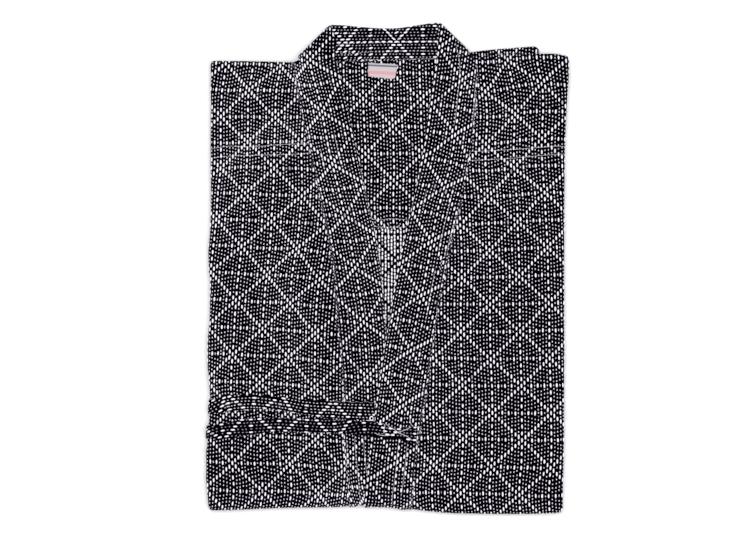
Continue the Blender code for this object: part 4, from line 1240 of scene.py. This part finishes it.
def wire(tree, node, inputs):
    """Set a node's inputs by name, each to a value or to another node's output."""
    for name, value in inputs.items():
        if isinstance(value, bpy.types.NodeSocket):
            tree.links.new(value, node.inputs[name])
        else:
            node.inputs[name].default_value = value


def add(tree, kind, settings, inputs):
    node = tree.nodes.new("ShaderNode" + kind)
    for name, value in settings.items():
        setattr(node, name, value)
    wire(tree, node, inputs)
    return node


def matt(name, roughness, specular):
    """A material, the nodes in it, and its shader with what all of them set."""
    mat = bpy.data.materials.new(name)
    mat.use_nodes = True
    shader = mat.node_tree.nodes["Principled BSDF"]
    wire(mat.node_tree, shader, {"Roughness": roughness, "Specular IOR Level": specular})
    return mat, mat.node_tree, shader


def place_in_cloth(tree):
    return add(tree, "UVMap", {"uv_map": "cloth"}, {}).outputs["UV"]


def two_tones(tree, dark, light, part):
    blend = add(tree, "Mix", {"data_type": "RGBA"}, {
        "A": (*dark, 1.0), "B": (*light, 1.0), "Factor": part})
    return blend.outputs["Result"]


def ribbed(tree, shader, color, uv, direction, wave, strength, distance):
    """Give a shader its colour, and ribs or a twist as fine relief."""
    rib = add(tree, "TexWave", {"bands_direction": direction}, {**wave, "Vector": uv})
    bump = add(tree, "Bump", {}, {"Strength": strength, "Distance": distance,
                                  "Height": rib.outputs["Fac"]})
    wire(tree, shader, {"Base Color": color, "Normal": bump.outputs["Normal"]})


def ground_material(name, dark, light):
    """Navy ground: fine weft ribs, and a little unevenness in the dye."""
    mat, tree, shader = matt(name, 0.95, 0.01)
    uv = place_in_cloth(tree)
    cloud = add(tree, "TexNoise", {}, {"Scale": 9.0, "Detail": 4.0, "Vector": uv})
    wave = {"Scale": 5.0, "Distortion": 1.2, "Detail": 1.0, "Detail Scale": 2.0}
    ribbed(tree, shader, two_tones(tree, dark, light, cloud.outputs["Fac"]), uv, "Y", wave,
           0.6, 0.0003)
    return mat


def thread_material(name, bright, dull):
    """Soft cotton thread: its tone from the float, and a fine twist."""
    mat, tree, shader = matt(name, 0.85, 0.2)
    tone = add(tree, "Attribute", {"attribute_name": "tone"}, {}).outputs["Fac"]
    ribbed(tree, shader, two_tones(tree, dull, bright, tone), place_in_cloth(tree), "DIAGONAL",
           {"Scale": 22.0, "Distortion": 0.8}, 0.5, 0.00012)
    return mat


def label_material():
    """Tape with plain stripes, which slant with the label's upper edge."""
    mat, tree, shader = matt("label_tape", 0.6, 0.35)
    uv = place_in_cloth(tree)
    slant = add(tree, "VectorMath", {"operation": "DOT_PRODUCT"}, {})
    slant.inputs[1].default_value = (LABEL_SLOPE_TOP, 1.0, 0.0)
    tree.links.new(uv, slant.inputs[0])
    spread = add(tree, "MapRange", {}, {
        "From Min": LABEL_BOTTOM * 0.01 - 0.045, "From Max": LABEL_TOP * 0.01,
        "Value": slant.outputs["Value"]})
    ramp = add(tree, "ValToRGB", {}, {"Fac": spread.outputs["Result"]})
    marks = ramp.color_ramp.elements
    for mark, color in zip(marks, LABEL_ENDS):
        mark.color = color
    for position, color in LABEL_STRIPES:
        marks.new(position).color = (*color, 1.0)
    ribbed(tree, shader, ramp.outputs["Color"], uv, "Y", {"Scale": 40.0}, 0.4, 0.0001)
    return mat


navy = ground_material("cotton_ground", (0.0002, 0.00005, 0.0009), (0.0010, 0.0002, 0.0026))
white = thread_material("cotton_floats", (0.95, 0.90, 0.985), (0.035, 0.015, 0.08))
grey = thread_material("sewing_thread", (0.60, 0.56, 0.63), (0.006, 0.004, 0.012))
pale = thread_material("quilting_thread", (0.86, 0.82, 0.9), (0.03, 0.02, 0.05))
loose = thread_material("loose_thread", (0.64, 0.60, 0.66), (0.06, 0.05, 0.08))


# Which floats a piece keeps, and how far they run on below the piece that lies on it
UNDER_TIE = 3.5
UNDER_COLLAR = 3.0
UNDER_NECK = 4.0
RING_CLEAR = 4.4
TIE_EDGE = 1.0
# The bare rim of the tie on top: from where, its width, from where wider, and that width
RIM_START, RIM, RIM_STEP, RIM_WIDE = -46.0, 1.6, -8.0, 2.3


def clear_of_ties(spots):
    x, y = spots.T
    return np.all([(y > read(tie, 1, x) - UNDER_TIE) | (y < read(tie, 2, x) + UNDER_TIE)
                   for tie in (TIE_UNDER, TIE_OVER)], axis=0)


def clear_of_over_collar(spots):
    return spots[:, 0] < section("free_over", spots[:, 1]) + UNDER_COLLAR


def clear_of_ring(spots):
    below = spots[:, 1] < read(TIE_UNDER, 1, spots[:, 0]) - TIE_EDGE
    return below & (np.linalg.norm(spots - RING_PLACE, axis=1) > RING_CLEAR)


def clear_of_rim(spots):
    x, y = spots.T
    rim = np.where(x > RIM_STEP, RIM_WIDE, RIM)
    return (y > read(TIE_OVER, 2, x) + rim) | (x < RIM_START)


def in_neck(spots):
    x, y = spots.T
    left, right = section("free_under", y) - UNDER_NECK, section("free_over", y) + UNDER_NECK
    return (x > left) & (x < right)


def below_lining(spots):
    return in_neck(spots) & (spots[:, 1] < LINING_END)


def pulled_askew(spots, kind):
    """How far the quilting turns the floats behind the neck: to the left, and at the chevron."""
    x, y = spots.T
    left = smooth((15.0 - x) / 50.0) * (0.35 + 0.65 * smooth((314.0 - y) / 8.0))
    if kind != "long":
        return np.radians(42.0 * left)
    chevron = (y > 320.0) & (np.abs(x - 14.0) < 24.0)
    return np.radians(np.where(chevron, np.where(x < 12.0, -29.0, 22.0), 21.0 * left))


def lay(start, cloth):
    """A piece of cloth, or a band through its rings."""
    cloths[start] = cloth
    if cloth.rings is None:
        shell(start + "_cloth", cloth, navy)
    else:
        tube(start + "_band", cloth.rings, navy)


def dress(start, cloth, weave, **how):
    """A piece of cloth and the floats of its weave."""
    lay(start, cloth)
    floats(start, weave, **how)


# The fronts, the collars and the ties
field_over = Field(CROSSINGS_OVER)
dress("front_under", front_cloth(-1, CREASES_UNDER), Field(CROSSINGS_UNDER),
      keep=clear_of_ties, seed=1)
dress("front_over", front_cloth(1, CREASES_OVER), field_over, seed=2)
lay("collar_under", front_collar(-1, TURN_UNDER))
lay("collar_over", front_collar(1, TURN_OVER))
lay("collar_back", back_collar())
floats("collar_under", Field(CROSSINGS_COLLAR_UNDER), clear_of_over_collar, seed=3)
floats("collar_over", Field(CROSSINGS_COLLAR_OVER), seed=4)
floats("collar_back", Band(LINE_COLLAR_BACK, BAND_PITCH, 14), seed=5, dull=0.62,
       askew=pulled_askew)
lay("tie_under", tie_cloth(TIE_UNDER))
lay("tie_over", tie_cloth(TIE_OVER))
floats("tie_under", Band(LINE_TIE_UNDER, BAND_PITCH, 8), clear_of_ring, seed=6, dull=0.85)
floats("tie_over", Band(LINE_TIE_OVER, BAND_PITCH, 8), clear_of_rim, seed=7, dull=0.4)

# Inside the neck
dress("shoulder_lining", lining_cloth(), Field(CROSSINGS_LINING), keep=in_neck, seed=8)
dress("back_panel", back_cloth(), Band(LINE_BACK, BACK_PITCH, 16), keep=below_lining, seed=9,
      other_side=True)
cloths["size_label"] = label_cloth()
shell("size_label_tape", cloths["size_label"], label_material())

# Stitched rows
stitches("front_under", HEM_UNDER, seed=1)
stitches("front_over", HEM_OVER, seed=2)
stitches("shoulder_lining", HEM_LINING, seed=3)
stitches("collar_under", quilting_paths(cloths["collar_under"]), seed=4, shown=QUILTING_UNDER)
stitches("collar_over", quilting_paths(cloths["collar_over"]), seed=5, shown=QUILTING_OVER)
stitches("collar_back", QUILTING_BACK, BACK_STITCH_PITCH, "back_stitch", seed=6,
         path_tones=BACK_QUILTING_TONES, lean=BACK_STITCH_LEAN)

# The sleeve edge, the hidden layers and the underside
dress("sleeve_fold", sleeve_cloth(), field_over, seed=10)
for number, name in enumerate(HIDDEN_FOLDS):
    dress(name, layer_cloth(name, number), Field(CROSSINGS_OVER, 60.0), seed=20 + number)
dress("underside", underside_cloth(), field_over, seed=30, count=2)

# Threads bunched up by the seams and the hem
chevrons = [(CHEVRON_X[k % 2], CHEVRON_TOP - CHEVRON_PITCH * (k // 2), (38.0, -38.0)[k % 2],
             1.35, 0.42) for k in range(CHEVRON_COUNT)]
snags("front_under", bunched("seam_under", BUNCHED_UNDER, -1.7, 1), 1)
snags("front_over", bunched("seam_over", BUNCHED_OVER, 1.7, 2), 2)
snags("collar_under", [*bunched("seam_under", BUNCHED_UNDER, 1.5, 3), *chevrons], 3)
snags("collar_over", [*bunched("seam_over", BUNCHED_OVER, -1.5, 4), *WINDING_OVER], 4)
snags("shoulder_lining", LEANING_LINING, 5)


# Loose threads, laid on the highest cloth below them
def cloth_height(x, y):
    graph = bpy.context.evaluated_depsgraph_get()
    start = Vector(world((x, y, 200.0)))
    found, spot, *_ = bpy.context.scene.ray_cast(graph, start, Vector((0.0, 0.0, -1.0)))
    return spot.z / MM if found else 0.0


def thread(name, path, radius, material, tone=THREAD_TONE, closed=False):
    """A round thread along a path, resting on the cloth."""
    path = np.asarray(path, dtype=float)
    if not closed:
        length = run_along(path)
        path = curve(length, path, np.linspace(0.0, length[-1], max(6, int(length[-1] / 1.2))))
    high = np.array([cloth_height(*spot) for spot in path]) + 0.6 * radius
    if closed:
        line = np.column_stack([path, np.full(len(path), high.mean() + 0.3)])
        run = unit(np.roll(line, -1, axis=0) - np.roll(line, 1, axis=0))
    else:
        high = np.convolve(np.pad(high, 2, mode="edge"), np.full(5, 0.2), mode="valid")
        line = np.column_stack([path, high])
        run = unit(np.gradient(line, axis=0))
    side = unit(stack(-run[:, 1], run[:, 0], 0.0))
    up = np.cross(run, side)
    angles = np.linspace(0.0, 2.0 * math.pi, 8, endpoint=False)
    rings = line[:, None] + radius * (side[:, None] * np.cos(angles)[:, None]
                                      + up[:, None] * np.sin(angles)[:, None])
    if closed:
        rings = np.concatenate([rings, rings[:1]])
    uv = stack(np.arange(len(rings))[:, None] * 0.5, angles * 0.2).reshape(-1, 2)
    mesh_object(name, rings.reshape(-1, 3), grid_quads(len(rings), len(angles), closed=True),
                material, uv, np.full(len(uv), tone))


bpy.context.view_layer.update()
for key, path in TIE_THREADS.items():
    radius, tone = EDGE_THREAD if key == "edge" else (THREAD_RADIUS, THREAD_TONE)
    thread("tie_thread_" + key, path, radius, loose, tone)
ring_turn = np.linspace(0.0, 2.0 * math.pi, 18, endpoint=False)
ring_path = RING_PLACE + RING_RADIUS * stack(np.cos(ring_turn), 1.1 * np.sin(ring_turn))
thread("tie_under_ring", ring_path, RING_THICK, white, closed=True)

# Which solids the pieces stand for
SOLIDS = {
    "_cloth": ("front_under", "front_over", "shoulder_lining", "back_panel", "sleeve_fold"),
    "_band": ("collar_under", "collar_over", "collar_back", "tie_under", "tie_over"),
    "_tape": ("size_label",),
}
for end, starts in SOLIDS.items():
    for start in starts:
        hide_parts(start)
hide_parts("folded_layers")

# Finish names by the start of a piece's name, a table that nothing below uses
SLOTS = {start: "cotton_" + start for start in (
    "front_under", "front_over", "collar_under", "collar_over", "collar_back", "tie_under",
    "tie_over")}
SLOTS.update(dict.fromkeys([*HIDDEN_FOLDS, "underside"], "cotton_folded"))
SLOTS.update(tie_thread="cotton_tie_over", shoulder_lining="cotton_lining",
             back_panel="cotton_wrong_side", size_label="label_tape", sleeve_fold="cotton_sleeve")


def cut(cloth):
    """Width, length and area of the flat cloth, in metres."""
    flat = cloth.flat * MM
    size = flat.max(axis=(0, 1)) - flat.min(axis=(0, 1))
    area = 0.5 * np.abs(cross(flat[1:, 1:] - flat[:-1, :-1], flat[1:, :-1] - flat[:-1, 1:])).sum()
    return (float(size[0]), float(size[1])), min(float(area), float(size[0] * size[1]))


def strip(cloth):
    """Width and length, in metres, of a strip whose columns run round the garment."""
    width = run_along(cloth.placed)[:, -1].mean()
    return float(width * MM), float(run_along(cloth.placed[:, LAYER_MIDDLE])[-1] * MM)


def trimmings(start):
    """What lies on a piece of cloth: its floats, stitches and caught threads, and a ring."""
    return [made[name] for name in made
            if name in [start + end for end in ("_floats", "_stitches", "_snags", "_ring")]]


SHEETS = {
    "front_under_cloth": ("folded", ["sleeve_layers_cloth"]),
    "front_over_cloth": ("folded", ["sleeve_layers_cloth"]),
    "shoulder_lining_cloth": ("laid", ["sleeve_layers_cloth"]),
    "back_panel_cloth": ("laid", ["sleeve_layers_cloth"]),
    "size_label_tape": ("laid", ["shoulder_lining_cloth"]),
    "sleeve_fold_cloth": ("folded", ["panel_layers_cloth"]),
    "underside_cloth": ("laid", []),
}
for name, (held, rests_on) in SHEETS.items():
    start = name.rpartition("_")[0]
    flat, area = cut(cloths[start])
    trimmings(start)
    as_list(rests_on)
layers = list(HIDDEN_FOLDS)
for start, below in zip(layers, layers[1:] + ["underside"]):
    strip(cloths[start])
    trimmings(start)
TIES = {
    "tie_under": (["front_under_cloth"], ["edge"]),
    "tie_over": (["front_under_cloth", "collar_under_band"],
                 [key for key in TIE_THREADS if key != "edge"]),
}
for start, (rests_on, keys) in TIES.items():
    length = run_along(cloths[start].rings.mean(axis=1))[-1]
    trimmings(start) + [made["tie_thread_" + key] for key in keys]
    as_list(rests_on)

# The floor, the lights and the camera
floor_mat, floor_tree, floor_shader = matt("floor", 0.9, 0.0)
wire(floor_tree, floor_shader, {"Base Color": (0.93, 0.93, 0.93, 1.0)})
floor_mesh = bpy.data.meshes.new("floor")
floor_mesh.from_pydata([(-FLOOR, -FLOOR, 0), (FLOOR, -FLOOR, 0), (FLOOR, FLOOR, 0),
                        (-FLOOR, FLOOR, 0)], [], [(0, 1, 2, 3)])
floor_mesh.materials.append(floor_mat)
floor = bpy.data.objects.new("floor", floor_mesh)
bpy.context.scene.collection.objects.link(floor)

for name, (place, size, power) in LIGHTS.items():
    data = bpy.data.lights.new(name, "AREA")
    data.shape = "DISK"
    data.size = size
    data.energy = power
    light = bpy.data.objects.new(name, data)
    light.location = place
    light.rotation_euler = (-light.location).to_track_quat("-Z", "Y").to_euler()
    bpy.context.scene.collection.objects.link(light)
studio = bpy.data.worlds.new("studio")
studio.use_nodes = True
wire(studio.node_tree, studio.node_tree.nodes["Background"],
     {"Color": (1.0, 1.0, 1.0, 1.0), "Strength": 0.55})
bpy.context.scene.world = studio
bpy.context.scene.view_settings.view_transform = "Standard"

camera_data = bpy.data.cameras.new("camera")
camera_data.sensor_width = SENSOR
camera_data.lens = SENSOR * CAMERA_HEIGHT / FRAME_WIDTH
camera = bpy.data.objects.new("camera", camera_data)
camera.location = (CAMERA_X, CAMERA_Y, CAMERA_HEIGHT + CLOTH_TOP)
bpy.context.scene.collection.objects.link(camera)
bpy.context.scene.camera = camera
